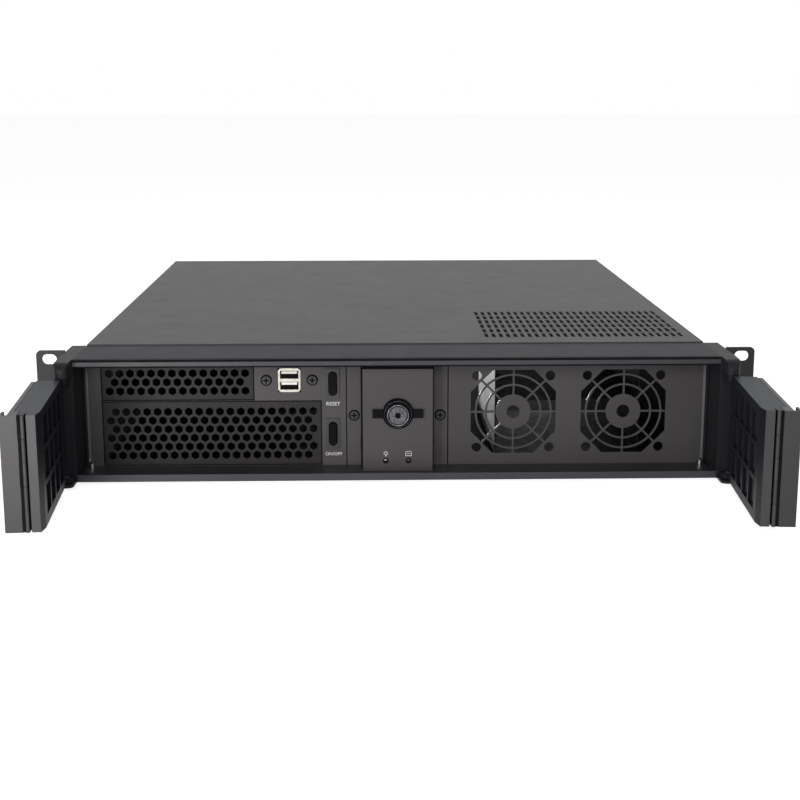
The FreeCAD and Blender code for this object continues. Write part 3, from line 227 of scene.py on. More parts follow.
def object_axes(tree):
    # The distance from the middle plane, the depth and the height of a point, as the mesh holds them.
    place = tree.nodes.new("ShaderNodeTexCoord")
    axes = tree.nodes.new("ShaderNodeSeparateXYZ")
    width = tree.nodes.new("ShaderNodeMath")
    width.operation = "ABSOLUTE"
    tree.links.new(place.outputs["Object"], axes.inputs["Vector"])
    tree.links.new(axes.outputs["X"], width.inputs[0])
    return width.outputs["Value"], axes.outputs["Y"], axes.outputs["Z"]


def combine(tree, operation, *values):
    # Each value is a number or the output of another node.
    node = tree.nodes.new("ShaderNodeMath")
    node.operation = operation
    for socket, value in zip(node.inputs, values):
        if isinstance(value, float):
            socket.default_value = value
        else:
            tree.links.new(value, socket)
    return node.outputs["Value"]


def second_tone(material, mask, colour, shine):
    # Where the mask is one, another colour and another shine take over.
    tree = material.node_tree
    shader = tree.nodes["Principled BSDF"]
    mix = tree.nodes.new("ShaderNodeMix")
    mix.data_type = "RGBA"
    old_colour = shader.inputs["Base Color"].links[0].from_socket
    old_shine = shader.inputs["Specular IOR Level"]
    tree.links.new(mask, mix.inputs["Factor"])
    tree.links.new(old_colour, mix.inputs[COLOUR_A])
    mix.inputs[COLOUR_B].default_value = (*colour, 1.0)
    tree.links.new(mix.outputs[COLOUR_RESULT], shader.inputs["Base Color"])
    spread = tree.nodes.new("ShaderNodeMapRange")
    if old_shine.is_linked:
        tree.links.new(old_shine.links[0].from_socket, spread.inputs["To Min"])
    else:
        spread.inputs["To Min"].default_value = old_shine.default_value
    spread.inputs["To Max"].default_value = shine
    tree.links.new(mask, spread.inputs["Value"])
    tree.links.new(spread.outputs["Result"], old_shine)


print("helpers: masks and second tones")

# %% [markdown]
# ## Where the second tones go
# The doors stand open at rest, so the end face of a leaf is found by its reach, which is the
# distance of a point from the hinge along the leaf. Each door could have a formula of its own,
# but the two are mirror images, and the distance from the middle plane serves both.

# %% Tones of the doors and the chassis
OPEN_ANGLE = math.radians(85.7)
HINGE_X = 217.0 * MM
HINGE_Y = -36.5 * MM
END_REACH = 107.5 * MM
END_TONE = (0.034, 0.031, 0.032)
END_SHINE = 0.28
# The upper edge of each door is lighter: a painted highlight for the light from above.
LIT_TOP_ABOVE = 32.9 * MM
TOP_SHEEN_TONE = (0.017, 0.020, 0.026)
TOP_SHEEN_SHINE = 0.14
# The inside of the chassis is darkened nearly to black: painted shade.
INNER_HALF_WIDTH = 210.0 * MM
INNER_FLOOR = -43.5 * MM
INNER_SHADE_TONE = (0.007, 0.007, 0.008)
INNER_SHADE_SHINE = 0.04

door_tree = door_coat.node_tree
door_width, door_depth, door_rise = object_axes(door_tree)
cosine = math.cos(OPEN_ANGLE)
sine = math.sin(OPEN_ANGLE)
across = combine(door_tree, "MULTIPLY_ADD", door_width, -cosine, HINGE_X * cosine + HINGE_Y * sine)
reach = combine(door_tree, "MULTIPLY_ADD", door_depth, -sine, across)
second_tone(door_coat, combine(door_tree, "GREATER_THAN", reach, END_REACH), END_TONE, END_SHINE)
# Painted highlight on the tops of the doors.
second_tone(door_coat, combine(door_tree, "GREATER_THAN", door_rise, LIT_TOP_ABOVE), TOP_SHEEN_TONE, TOP_SHEEN_SHINE)

chassis_tree = chassis_coat.node_tree
base_width, _, base_rise = object_axes(chassis_tree)
within = combine(chassis_tree, "LESS_THAN", base_width, INNER_HALF_WIDTH)
above = combine(chassis_tree, "GREATER_THAN", base_rise, INNER_FLOOR)
# Painted shade inside the chassis.
second_tone(chassis_coat, combine(chassis_tree, "MULTIPLY", within, above), INNER_SHADE_TONE, INNER_SHADE_SHINE)
print("end faces begin", round(END_REACH / MM, 1), "mm from the hinge")

# %% [markdown]
# ## Galvanised sheet
# Zinc-plated sheet has spangles, flat crystals a few millimetres wide, each with its own tone. A
# photograph of zinc would show its repeats, while a Voronoi texture gives each cell one random
# value of its own. The sheet deep inside is darkened nearly to black as painted shade, the side of
# the disk cage is bright zinc as a painted highlight, and the rear panel is darkened to a tone
# between the two, in part as painted shade.

# %% Zinc
SPANGLE_SCALE = 190.0


def galvanised_sheet(name, dark, light):
    material, tree, shader = new_finish(name, light, 0.45, 1.0)
    place = tree.nodes.new("ShaderNodeTexCoord")
    cells = tree.nodes.new("ShaderNodeTexVoronoi")
    cells.inputs["Scale"].default_value = SPANGLE_SCALE
    cells.inputs["Randomness"].default_value = 1.0
    tree.links.new(place.outputs["Object"], cells.inputs["Vector"])
    split = tree.nodes.new("ShaderNodeSeparateColor")
    tree.links.new(cells.outputs["Color"], split.inputs["Color"])
    vary_colour(tree, shader, split.outputs["Red"], dark, light)
    vary_roughness(tree, shader, split.outputs["Green"], 0.42, 0.54)
    add_relief(tree, shader, object_noise(tree, 500.0, 2.0), 0.15, 0.01 * MM, 0.2 * MM)
    return material

# Painted shade: the zinc inside the case is darkened nearly to black.
galvanised = galvanised_sheet("galvanised", (0.010, 0.010, 0.011), (0.017, 0.017, 0.018))
# Painted highlight: a bright copy of the zinc, for the lit side of the disk cage.
zinc_highlight = galvanised_sheet("zinc_highlight", (0.58, 0.58, 0.60), (0.74, 0.74, 0.76))
# Zinc darkened to a tone between the two, in part painted shade, for the rear sheets.
bare_edge = galvanised_sheet("bare_edge", (0.17, 0.17, 0.18), (0.24, 0.24, 0.25))
print("zinc:", [m.name for m in (galvanised, zinc_highlight, bare_edge)])

# %% [markdown]
# ## Turned and plated metal
# The lock's cylinder, the hinge pins and the shells of the sockets are smooth metal with fine
# marks of the tool. Scratches could be drawn one by one, but a noise that is stretched along one
# axis looks the same, and it steers the colour, the roughness and the relief together.

# %% Smooth metals
TOOL_MARK_SCALE = 1400.0
TOOL_MARK_STRETCH = (1.0, 1.0, 0.25)


def turned_metal(name, dark, light, roughness):
    material, tree, shader = new_finish(name, light, roughness, 1.0)
    scratches = object_noise(tree, TOOL_MARK_SCALE, 3.0, TOOL_MARK_STRETCH)
    vary_colour(tree, shader, scratches, dark, light)
    vary_roughness(tree, shader, scratches, roughness * 0.8, roughness * 1.3)
    add_relief(tree, shader, scratches, 0.25, 0.008 * MM, 0.15 * MM)
    return material


bright_steel = turned_metal("bright_steel", (0.50, 0.50, 0.50), (0.66, 0.66, 0.65), 0.26)
dull_chrome = turned_metal("dull_chrome", (0.055, 0.055, 0.060), (0.115, 0.115, 0.120), 0.24)
usb_metal = turned_metal("usb_metal", (0.25, 0.24, 0.21), (0.36, 0.35, 0.31), 0.30)
standoff_brass = turned_metal("standoff_brass", (0.55, 0.38, 0.14), (0.72, 0.52, 0.22), 0.30)
print("metals:", [m.name for m in (bright_steel, dull_chrome, usb_metal, standoff_brass)])

# %% [markdown]
# ## Plastic, print and filter
# Moulded plastic has a matt skin with a very fine stipple. The lettering is white screen ink,
# the filter behind the door's windows is black thread, and the screws at the front and sides are
# black too. Each could have a recipe of its own, but they differ in tone, roughness and shine
# alone, so one function makes them all.

# %% Plastics, ink and thread
STIPPLE_SCALE = 3000.0


def moulded(name, dark, light, roughness, shine=0.5):
    material, tree, shader = new_finish(name, light, roughness, 0.0, shine)
    vary_colour(tree, shader, object_noise(tree, 90.0, 2.0), dark, light)
    vary_roughness(tree, shader, object_noise(tree, 400.0, 2.0), roughness * 0.85, roughness * 1.15)
    add_relief(tree, shader, object_noise(tree, STIPPLE_SCALE, 1.0), 0.4, 0.012 * MM, 0.25 * MM)
    return material


black_plastic = moulded("black_plastic", (0.002, 0.002, 0.003), (0.004, 0.004, 0.005), 0.40, 0.04)
usb_insert = moulded("usb_insert", (0.60, 0.58, 0.53), (0.72, 0.70, 0.65), 0.45)
housing_plastic = moulded("housing_plastic", (0.024, 0.023, 0.024), (0.032, 0.030, 0.031), 0.42, 0.25)
black_screw = moulded("black_screw", (0.012, 0.011, 0.012), (0.020, 0.019, 0.020), 0.35, 0.30)
light_lens = moulded("light_lens", (0.003, 0.003, 0.003), (0.006, 0.006, 0.006), 0.10, 0.4)
white_ink = moulded("white_ink", (0.44, 0.44, 0.43), (0.54, 0.54, 0.53), 0.55, 0.3)
filter_thread = moulded("filter_mesh", (0.006, 0.006, 0.007), (0.010, 0.010, 0.011), 0.60, 0.15)
# Black for painted shade in grooves, gaps and hollows, and for the rings round the lenses.
black_and_painted_shade = moulded("black_and_painted_shade", (0.003, 0.003, 0.003), (0.006, 0.006, 0.006), 0.80, 0.05)
print("plastics:", [m.name for m in (black_plastic, usb_insert, light_lens, white_ink, filter_thread)])

# %% [markdown]
# ## Painting the solids
# Each solid names its finish in the record, so one table turns those names into materials. They
# could be given by hand, but a table can be read and changed in one place. A second table holds
# the solids that differ from their slot, such as the front frame and the sheets at the rear.

# %% Paint each solid
FINISHES = {"case_coat": case_coat, "plate_coat": plate_coat, "door_coat": door_coat,
            "galvanised": galvanised, "standoff_brass": standoff_brass, "usb_metal": usb_metal,
            "usb_insert": usb_insert, "bright_steel": bright_steel, "black_plastic": black_plastic,
            "light_lens": light_lens, "filter_mesh": filter_thread, "black_screw": black_screw}
OWN_FINISHES = {"front_hood": frame_coat, "bottom_rail": band_coat, "lock_cylinder": dull_chrome,
                "reset_housing": housing_plastic, "power_housing": housing_plastic,
                "chassis_base": chassis_coat, "large_bay_cover": cover_coat, "small_bay_cover": cover_coat,
                "rear_panel": bare_edge, "rear_vents": bare_edge, "slot_covers": bare_edge}
for side in ("left", "right"):
    OWN_FINISHES[side + "_cheek"] = cheek_shade_coat
    OWN_FINISHES[side + "_rack_ear"] = ear_coat
    OWN_FINISHES[side + "_fold_leaf"] = fold_coat
    OWN_FINISHES[side + "_fold_pin"] = fold_coat

for part in frame["record"]["subparts"]:
    solid = frame["nodes"][part["node"]]
    finish = OWN_FINISHES.get(part["node"], FINISHES[part["material_slot"]])
    for slot in solid.material_slots:
        slot.material = finish

# %% [markdown]
# ## A helper that finishes a new piece
# A new piece keeps its object at the origin, with its place in the mesh, as the solids do. It
# rides on the body that carries it, and its mesh gets the finish. Pieces could be placed by moving
# their objects, but this way every measure is in the same frame.

# %% Piece helper
def add_piece(name, mesh, material, body):
    piece = bpy.data.objects.new(name, mesh)
    bpy.context.scene.collection.objects.link(piece)
    mesh.materials.clear()
    mesh.materials.append(material)
    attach(piece, body)
    return piece


def mesh_from(name, maker):
    mesh = bpy.data.meshes.new(name)
    maker.to_mesh(mesh)
    maker.free()
    return mesh


def thicken(maker, offset):
    # Turns flat faces into a closed plate, with its faces outwards.
    grown = bmesh.ops.extrude_face_region(maker, geom=list(maker.faces))
    moved = [v for v in grown["geom"] if isinstance(v, bmesh.types.BMVert)]
    bmesh.ops.translate(maker, verts=moved, vec=offset)
    bmesh.ops.recalc_face_normals(maker, faces=maker.faces)


# A quarter turn about X stands a flat shape up, so that it faces the front.
STAND_UP = Matrix.Rotation(math.radians(90), 4, "X")
print("helpers: pieces and plates")

# %% [markdown]
# ## Printed words
# RESET and ON/OFF are screen printed beside their buttons. A drawn image could carry them, but a
# text object keeps the edges of the letters sharp. It is turned into a mesh, stood upright and
# set a few hundredths of a millimetre in front of the plate.

# %% Words beside the buttons
plate_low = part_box("front_plate")[0]
INK_THICKNESS = 0.03 * MM
LETTER_SIZE = 3.5 * MM
LONG_WORD_SIZE = 3.1 * MM
LETTER_SWELL = 0.06 * MM
LETTER_SPACING = 1.04


def printed_word(name, words, x, z, size):
    curve = bpy.data.curves.new(name, "FONT")
    curve.body = words
    curve.size = size
    curve.align_x = "CENTER"
    curve.align_y = "CENTER"
    curve.extrude = INK_THICKNESS
    curve.offset = LETTER_SWELL
    curve.space_character = LETTER_SPACING
    maker = bpy.data.objects.new(name + "_maker", curve)
    bpy.context.scene.collection.objects.link(maker)
    graph = bpy.context.evaluated_depsgraph_get()
    mesh = bpy.data.meshes.new_from_object(maker.evaluated_get(graph))
    bpy.data.objects.remove(maker)
    mesh.transform(Matrix.Translation((x, plate_low.y - 1.2 * INK_THICKNESS, z)) @ STAND_UP)
    return add_piece(name, mesh, white_ink, "case")


reset_low, reset_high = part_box("reset_housing")
power_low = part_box("power_housing")[0]
housing_x = (reset_low.x + reset_high.x) / 2
RESET_PLACE = (housing_x + 0.2 * MM, reset_low.z - 3.7 * MM)
POWER_PLACE = (housing_x + 0.3 * MM, power_low.z - 4.0 * MM)
printed_word("reset_word", "RESET", *RESET_PLACE, LETTER_SIZE)
printed_word("power_word", "ON/OFF", *POWER_PLACE, LONG_WORD_SIZE)
print("words under", round(housing_x / MM, 1), "mm")

# %% [markdown]
# ## Flat shapes for the signs
# Over the two lights stand a small lamp and a small disk, with lines less than half a millimetre
# wide. They could be drawn as curves, but at this size a few flat rings and bars are enough. They
# are then given the thickness of the ink.

# %% Rings and bars
box_low, box_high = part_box("lock_box")
INK_FACE = box_low.y - INK_THICKNESS


def flat_ring(maker, cx, cz, inner, outer, steps, start=0.0, sweep=360.0):
    rows = []
    for i in range(steps + 1):
        angle = math.radians(start + sweep * i / steps)
        rows.append([maker.verts.new((cx + r * math.cos(angle), INK_FACE, cz + r * math.sin(angle)))
                     for r in (inner, outer)])
    for a, b in zip(rows, rows[1:]):
        maker.faces.new((a[0], a[1], b[1], b[0]))


def flat_bar(maker, x0, x1, z0, z1):
    corners = [maker.verts.new((x, INK_FACE, z)) for x, z in ((x0, z0), (x1, z0), (x1, z1), (x0, z1))]
    maker.faces.new(corners)


def finish_sign(name, maker):
    bmesh.ops.recalc_face_normals(maker, faces=maker.faces)
    thicken(maker, (0, INK_THICKNESS * 0.9, 0))
    return add_piece(name, mesh_from(name, maker), white_ink, "case")


print("ink lies at", round(INK_FACE / MM, 2), "mm")

# %% [markdown]
# ## The lamp and the disk
# The lamp is a ring with seven short rays and a stem. The disk is an open tray with a lid line
# and a slot. Each could be drawn with fixed corners, but both are built from a few named sizes,
# so they can be changed without being drawn again.

# %% Signs over the lights
light_low, light_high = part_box("indicator_lights")
LENS_RADIUS = (light_high.z - light_low.z) / 2
SIGN_RISE = 5.1 * MM
SIGN_RADIUS = 1.15 * MM
SIGN_LINE = 0.40 * MM
DISK_HALF_WIDTH = 2.1 * MM
DISK_HALF_HEIGHT = 1.5 * MM
RAY_COUNT = 7
FIRST_RAY = -35
RAY_STEP = 40
RAY_SWEEP = 10

lamp_x = light_low.x + LENS_RADIUS
disk_x = light_high.x - LENS_RADIUS
light_z = (light_low.z + light_high.z) / 2
sign_z = light_z + SIGN_RISE

lamp = bmesh.new()
flat_ring(lamp, lamp_x, sign_z, SIGN_RADIUS - SIGN_LINE, SIGN_RADIUS, 24)
for step in range(RAY_COUNT):
    flat_ring(lamp, lamp_x, sign_z, 1.2 * SIGN_RADIUS, 1.55 * SIGN_RADIUS, 2,
              FIRST_RAY + RAY_STEP * step, RAY_SWEEP)
flat_bar(lamp, lamp_x - SIGN_LINE, lamp_x + SIGN_LINE, sign_z - 1.75 * SIGN_RADIUS, sign_z - SIGN_RADIUS)
finish_sign("lamp_sign", lamp)

disk = bmesh.new()
disk_left, disk_right = disk_x - DISK_HALF_WIDTH, disk_x + DISK_HALF_WIDTH
disk_foot, disk_top = sign_z - DISK_HALF_HEIGHT, sign_z + DISK_HALF_HEIGHT
flat_bar(disk, disk_left + SIGN_LINE, disk_right - SIGN_LINE, disk_top - SIGN_LINE, disk_top)
flat_bar(disk, disk_left, disk_left + SIGN_LINE, disk_foot, disk_top - SIGN_LINE)
flat_bar(disk, disk_right - SIGN_LINE, disk_right, disk_foot, disk_top - SIGN_LINE)
flat_bar(disk, disk_left, disk_right, disk_foot - SIGN_LINE, disk_foot)
flat_bar(disk, disk_x - SIGN_RADIUS, disk_x + SIGN_RADIUS, sign_z - SIGN_LINE, sign_z)
finish_sign("disk_sign", disk)
print("signs at", round(lamp_x / MM, 1), round(disk_x / MM, 1))

# %% [markdown]
# ## Rings on the lock's cylinder
# The face of the cylinder shows a raised rim, a groove and the floor of its hole, both darkened as
# painted shade, and a thin bright line of painted highlight runs round the collar of the knob. A
# cylinder with a hole could stand for each, but rings like these are lathe work, so a short profile
# is spun round the cylinder's axis.

# %% Rings on the cylinder
cylinder_low, cylinder_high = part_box("lock_cylinder")
LOCK_CENTRE = (cylinder_low + cylinder_high) / 2
RING_STEPS = 64
# Each profile is a closed loop of radius and depth behind the front, in millimetres.
RIM_PROFILE = [(7.5, 0.35), (7.3, -0.05), (6.9, -0.15), (6.5, 0.0), (6.45, 0.3), (7.0, 0.5)]
GROOVE_PROFILE = [(6.4, -0.02), (5.9, -0.02), (5.9, 0.1), (6.4, 0.1)]
HOLE_PROFILE = [(0.05, 1.6), (1.9, 1.6), (1.9, 2.2), (0.05, 2.2)]
COLLAR_PROFILE = [(8.9, 3.6), (9.05, 3.45), (9.2, 3.6), (9.05, 3.75)]


def spun_ring(name, profile, material):
    maker = bmesh.new()
    rows = []
    for i in range(RING_STEPS):
        angle = 2 * math.pi * i / RING_STEPS
        rows.append([maker.verts.new((LOCK_CENTRE.x + r * MM * math.cos(angle), cylinder_low.y + d * MM,
                                      LOCK_CENTRE.z + r * MM * math.sin(angle))) for r, d in profile])
    for a, b in zip(rows, rows[1:] + rows[:1]):
        for j in range(len(profile)):
            k = (j + 1) % len(profile)
            maker.faces.new((a[j], a[k], b[k], b[j]))
    bmesh.ops.recalc_face_normals(maker, faces=maker.faces)
    for face in maker.faces:
        face.smooth = True
    return add_piece(name, mesh_from(name, maker), material, "lock")


spun_ring("cylinder_rim", RIM_PROFILE, dull_chrome)
# Painted shade in the groove and in the hole, and a painted highlight round the collar of the knob.
spun_ring("cylinder_groove_shade", GROOVE_PROFILE, black_and_painted_shade)
spun_ring("keyhole_shade", HOLE_PROFILE, black_and_painted_shade)
spun_ring("knob_highlight_line", COLLAR_PROFILE, dull_chrome)
print("rings round", [round(v / MM, 1) for v in LOCK_CENTRE])

# %% [markdown]
# ## Strips
# Strips of painted shade, liners and edge trims are thin strips with slightly broken edges. Each
# could be modelled by hand, but they differ in little more than their two corners, so one function
# makes them all. A second one is its short form for black strips of painted shade on the case.

# %% Strip helpers
def strip(name, low, high, material, body, place=None):
    maker = bmesh.new()
    bmesh.ops.create_cube(maker, size=1.0)
    size = Vector(high) - Vector(low)
    middle = (Vector(high) + Vector(low)) / 2
    bmesh.ops.scale(maker, vec=size, verts=maker.verts)
    bmesh.ops.translate(maker, vec=middle, verts=maker.verts)
    bmesh.ops.bevel(maker, geom=list(maker.edges), offset=min(size) * 0.2, segments=1, affect="EDGES")
    mesh = mesh_from(name, maker)
    if place is not None:
        mesh.transform(place)
    return add_piece(name, mesh, material, body)


def shade_strip(name, low, high):
    return strip(name, low, high, black_and_painted_shade, "case")


print("helpers: strips")

# %% [markdown]
# ## The groove in the hood
# A groove crosses the top of the hood, a little behind its front edge. A mask in the paint could
# draw its shade, but the groove has depth, so a black strip of painted shade lies at its floor.

# %% Groove of the hood
hood_low, hood_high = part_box("front_hood")
GROOVE_START = 1.55 * MM
GROOVE_WIDTH = 1.3 * MM
# Painted shade at the floor of the groove.
shade_strip("hood_groove_shade", (hood_low.x, hood_low.y + GROOVE_START, hood_high.z - 0.78 * MM),
           (hood_high.x, hood_low.y + GROOVE_START + GROOVE_WIDTH, hood_high.z - 0.35 * MM))
print("hood is", round((hood_high.x - hood_low.x) / MM, 1), "mm wide")

# %% [markdown]
# ## Edges beside the front plate
# A light strip covers the cut edge of the chassis at each end of the front plate, a painted
# highlight for the light that the edge catches, with a bright stud at its foot. They could be
# placed one by one, but left and right differ in a sign, so a loop over the two sides makes them.

# %% Trims and studs
EDGE_X = 209.6 * MM
EDGE_HALF_WIDTH = 0.9 * MM
EDGE_FOOT = -34.0 * MM
EDGE_HEAD = 37.0 * MM
STUD_HEIGHT = 1.6 * MM
for side, hand in (("left", -1), ("right", 1)):
    start = hand * EDGE_X - EDGE_HALF_WIDTH
    end = hand * EDGE_X + EDGE_HALF_WIDTH
    # Painted highlight along each cut edge of the chassis.
    strip(side + "_chassis_edge", (start, plate_low.y - 0.9 * MM, EDGE_FOOT),
          (end, plate_low.y - 0.05 * MM, EDGE_HEAD), edge_sheen_coat, "case")
    strip(side + "_edge_stud", (start, plate_low.y - 2.2 * MM, EDGE_FOOT),
          (end, plate_low.y - 1.0 * MM, EDGE_FOOT + STUD_HEIGHT), bright_steel, "case")
print("trims at", round(EDGE_X / MM, 1), "mm on both sides")

# %% [markdown]
# ## The front of the hood
# The front edge of the hood has a dark line of painted shadow along its top and a lighter band
# under it, and a dark strip of painted shadow hangs below it. The edge is one face of one solid, so
# two tones on it would need a mask. Thin strips in front of it do the same and can have a thickness
# of their own.

# %% Shadow lines and band of the hood
BROW_HEIGHT = 1.5 * MM
SHADOW_INSET = 1 * MM
# Painted shadow: a dark line at the top of the hood's front, and a dark strip under its band.
shade_strip("hood_brow_shadow", (hood_low.x, hood_low.y - 0.04 * MM, hood_high.z - BROW_HEIGHT - 0.2 * MM),
           (hood_high.x, hood_low.y + 0.3 * MM, hood_high.z - 0.2 * MM))
shade_strip("hood_under_shadow", (hood_low.x + SHADOW_INSET, hood_low.y + 0.5 * MM, hood_low.z - 0.95 * MM),
           (hood_high.x - SHADOW_INSET, hood_low.y + 1.6 * MM, hood_low.z - 0.02 * MM))
strip("hood_band_face", (hood_low.x + 0.1 * MM, hood_low.y - 0.05 * MM, hood_low.z + 0.1 * MM),
      (hood_high.x - 0.1 * MM, hood_low.y + 0.2 * MM, hood_high.z - BROW_HEIGHT - 0.25 * MM),
      band_coat, "case")
print("the dark line is", round(BROW_HEIGHT / MM, 1), "mm tall")

# %% [markdown]
# ## Backs of the ports
# A black block at the back of each port is painted shade for its depth. The two could be made one
# by one, but they differ in a sign, so a loop over the lower and the upper one makes them.

# %% Port backs
usb_low, usb_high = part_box("usb_shell")
usb_middle = (usb_low + usb_high) / 2
PORT_RISE = 3.8 * MM
PORT_DEPTH = 2.0 * MM
PORT_HALF = Vector((6.15, 0.5, 2.65)) * MM
for level, hand in (("lower", -1), ("upper", 1)):
    back = Vector((usb_middle.x, usb_low.y + PORT_DEPTH, usb_middle.z + hand * PORT_RISE))
    # Painted shade in the depth of each port.
    shade_strip(level + "_port_shade", back - PORT_HALF, back + PORT_HALF)
print("ports at", round(usb_middle.x / MM, 1), "mm")

# %% [markdown]
# ## Shadow gaps
# Each bay cover sits in its opening with a gap of less than a millimetre, and the lock box has a
# dark line on both sides of its flanges. Such a gap could be left empty, but a black strip of
# painted shadow at its bottom makes sure that it reads as a dark line: four strips round each
# cover, and upright ones beside the lock box.

# %% Painted shadow in the gaps
GAP_SHADE = 0.7 * MM
GAP_SHADE_DEPTH = 0.5 * MM
LOCK_HALF_WIDTH = 23.5 * MM
BOX_GAP_SHADE = 1.3 * MM


# Painted shadow: black strips round a cover, in the gap between it and the plate.
def gap_shade_frame(name, node):
    low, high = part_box(node)
    front = plate_low.y + 0.3 * MM
    back = front + GAP_SHADE_DEPTH
    shade_strip(name + "_foot", (low.x - GAP_SHADE, front, low.z - GAP_SHADE), (high.x + GAP_SHADE, back, low.z))
    shade_strip(name + "_head", (low.x - GAP_SHADE, front, high.z), (high.x + GAP_SHADE, back, high.z + GAP_SHADE))
    shade_strip(name + "_left", (low.x - GAP_SHADE, front, low.z), (low.x, back, high.z))
    shade_strip(name + "_right", (high.x, front, low.z), (high.x + GAP_SHADE, back, high.z))


def upright_gap_shade(name, start, end, front, back):
    # As tall as the lock box, between two places along the width in any order.
    shade_strip(name, (min(start, end), front, box_low.z), (max(start, end), back, box_high.z))


gap_shade_frame("large_cover_gap_shade", "large_bay_cover")
gap_shade_frame("small_cover_gap_shade", "small_bay_cover")
for side, hand in (("left", -1), ("right", 1)):
    edge = box_high.x * hand
    upright_gap_shade(side + "_flange_gap_shade", edge, edge + hand * GAP_SHADE,
                 plate_low.y - GAP_SHADE_DEPTH, plate_low.y - 0.02 * MM)
    inner = LOCK_HALF_WIDTH * hand
    upright_gap_shade(side + "_box_gap_shade", inner, inner + hand * BOX_GAP_SHADE,
                 plate_low.y - 2.2 * MM, plate_low.y - 1.25 * MM)
print("gap shade is", round(GAP_SHADE / MM, 1), "mm wide")

# %% [markdown]
# ## Cross recesses
# The screws are black on grey, so what shows is the shadow round the head and in its cross. A
# painted spot would look right from the front alone. A thin dark ring and two crossed bars on
# the floor of the recess draw that shadow from any side.

# %% Screws
HEAD_RADIUS = 3.3 * MM
HEAD_RING = 0.6 * MM
RING_THICKNESS = 0.12 * MM
WASHER_STEPS = 32
CROSS_REACH = 1.9 * MM
CROSS_HALF_WIDTH = 0.45 * MM
CROSS_DEPTH = 0.75 * MM


def dark_washer(name, place, inner_radius, outer_radius):
    x, y, z = place
    maker = bmesh.new()
    bmesh.ops.create_circle(maker, cap_ends=False, radius=outer_radius, segments=WASHER_STEPS)
    outer = list(maker.verts)
    made = bmesh.ops.create_circle(maker, cap_ends=False, radius=inner_radius, segments=WASHER_STEPS)
    inner = made["verts"]
    for i in range(WASHER_STEPS):
        j = (i + 1) % WASHER_STEPS
        maker.faces.new((outer[i], outer[j], inner[j], inner[i]))
    thicken(maker, (0, 0, RING_THICKNESS))
    mesh = mesh_from(name, maker)
    mesh.transform(Matrix.Translation((x, y - 0.01 * MM, z)) @ STAND_UP)
    add_piece(name, mesh, black_and_painted_shade, "case")


def screw_shadow(name, place):
    x, y, z = place
    dark_washer(name, place, HEAD_RADIUS, HEAD_RADIUS + HEAD_RING)
    floor_y = y - CROSS_DEPTH
    shade_strip(name + "_cross_a", (x - CROSS_REACH, floor_y, z - CROSS_HALF_WIDTH),
               (x + CROSS_REACH, floor_y + 0.15 * MM, z + CROSS_HALF_WIDTH))
    shade_strip(name + "_cross_b", (x - CROSS_HALF_WIDTH, floor_y - 0.02 * MM, z - CROSS_REACH),
               (x + CROSS_HALF_WIDTH, floor_y + 0.14 * MM, z + CROSS_REACH))


screw_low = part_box("front_screws")[0]
USB_SCREW_X = 15.55 * MM
LOCK_SCREW_X = 29.3 * MM
FLANGE_RISE = 1.2 * MM
screw_spots = [(usb_middle.x + hand * USB_SCREW_X, plate_low.y, usb_middle.z) for hand in (-1, 1)]
screw_spots += [(hand * LOCK_SCREW_X, plate_low.y - FLANGE_RISE, screw_low.z + HEAD_RADIUS)
                for hand in (-1, 1)]
for index, place in enumerate(screw_spots):
    screw_shadow("screw_shadow_" + str(index), place)
print("screws:", len(screw_spots))

# %% [markdown]
# ## The two lights
# Each lens is black with a dark ring round it. The left one holds a small bright spot and the
# right one a dim one, both painted highlights. A reflection could draw them, but it would move with
# the camera, so the spots are small pieces of their own.

# %% Lens rings and glints
LENS_RING = 0.55 * MM
SPOT_FRONT = light_low.y - 0.05 * MM
SPOT_BACK = light_low.y + 0.1 * MM
for name, x in (("left_lens_ring", lamp_x), ("right_lens_ring", disk_x)):
    dark_washer(name, (x, box_low.y, light_z), LENS_RADIUS, LENS_RADIUS + LENS_RING)
# Painted highlights on the two lenses.
strip("left_lens_glint", (lamp_x - 0.9 * MM, SPOT_FRONT, light_z),
      (lamp_x + 0.3 * MM, SPOT_BACK, light_z + 0.8 * MM), white_ink, "case")
strip("right_lens_glint", (disk_x - 0.35 * MM, SPOT_FRONT, light_z - 0.3 * MM),
      (disk_x + 0.35 * MM, SPOT_BACK, light_z + 0.3 * MM), bare_edge, "case")
print("lenses of", round(2 * LENS_RADIUS / MM, 1), "mm")

# %% [markdown]
# ## The bright side of the disk cage
# Through the left grille shows the side of the disk cage, lit by the spot behind the case. It gets
# a face sheet of bright zinc of its own, a painted highlight about an eighth of a millimetre thick.
# The whole cage could be bright, but the rest of it lies in shadow, painted dark in its zinc.

# %% Face of the disk cage
cage_low, cage_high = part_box("disk_cage")
CAGE_MARGIN = 0.5 * MM
CAGE_FOOT = 1.5 * MM
# Painted highlight: a bright zinc face on the lit side of the cage.
strip("disk_cage_face", (cage_low.x - 0.15 * MM, cage_low.y + CAGE_MARGIN, cage_low.z + CAGE_FOOT),
      (cage_low.x - 0.02 * MM, cage_high.y - CAGE_MARGIN, cage_high.z - CAGE_MARGIN),
      zinc_highlight, "case")
print("cage face at", round(cage_low.x / MM, 1), "mm")

# %% [markdown]
# ## A sheet of painted shade under the cover's vents
# The openings in the cover look black from above. The inside could be made darker, but light
# would still come through from the rear, so a thin black sheet of painted shade lies under the openings.

# %% Shade sheet
vents_low, vents_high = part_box("cover_vents")
SHEET_MARGIN = 0.5 * MM
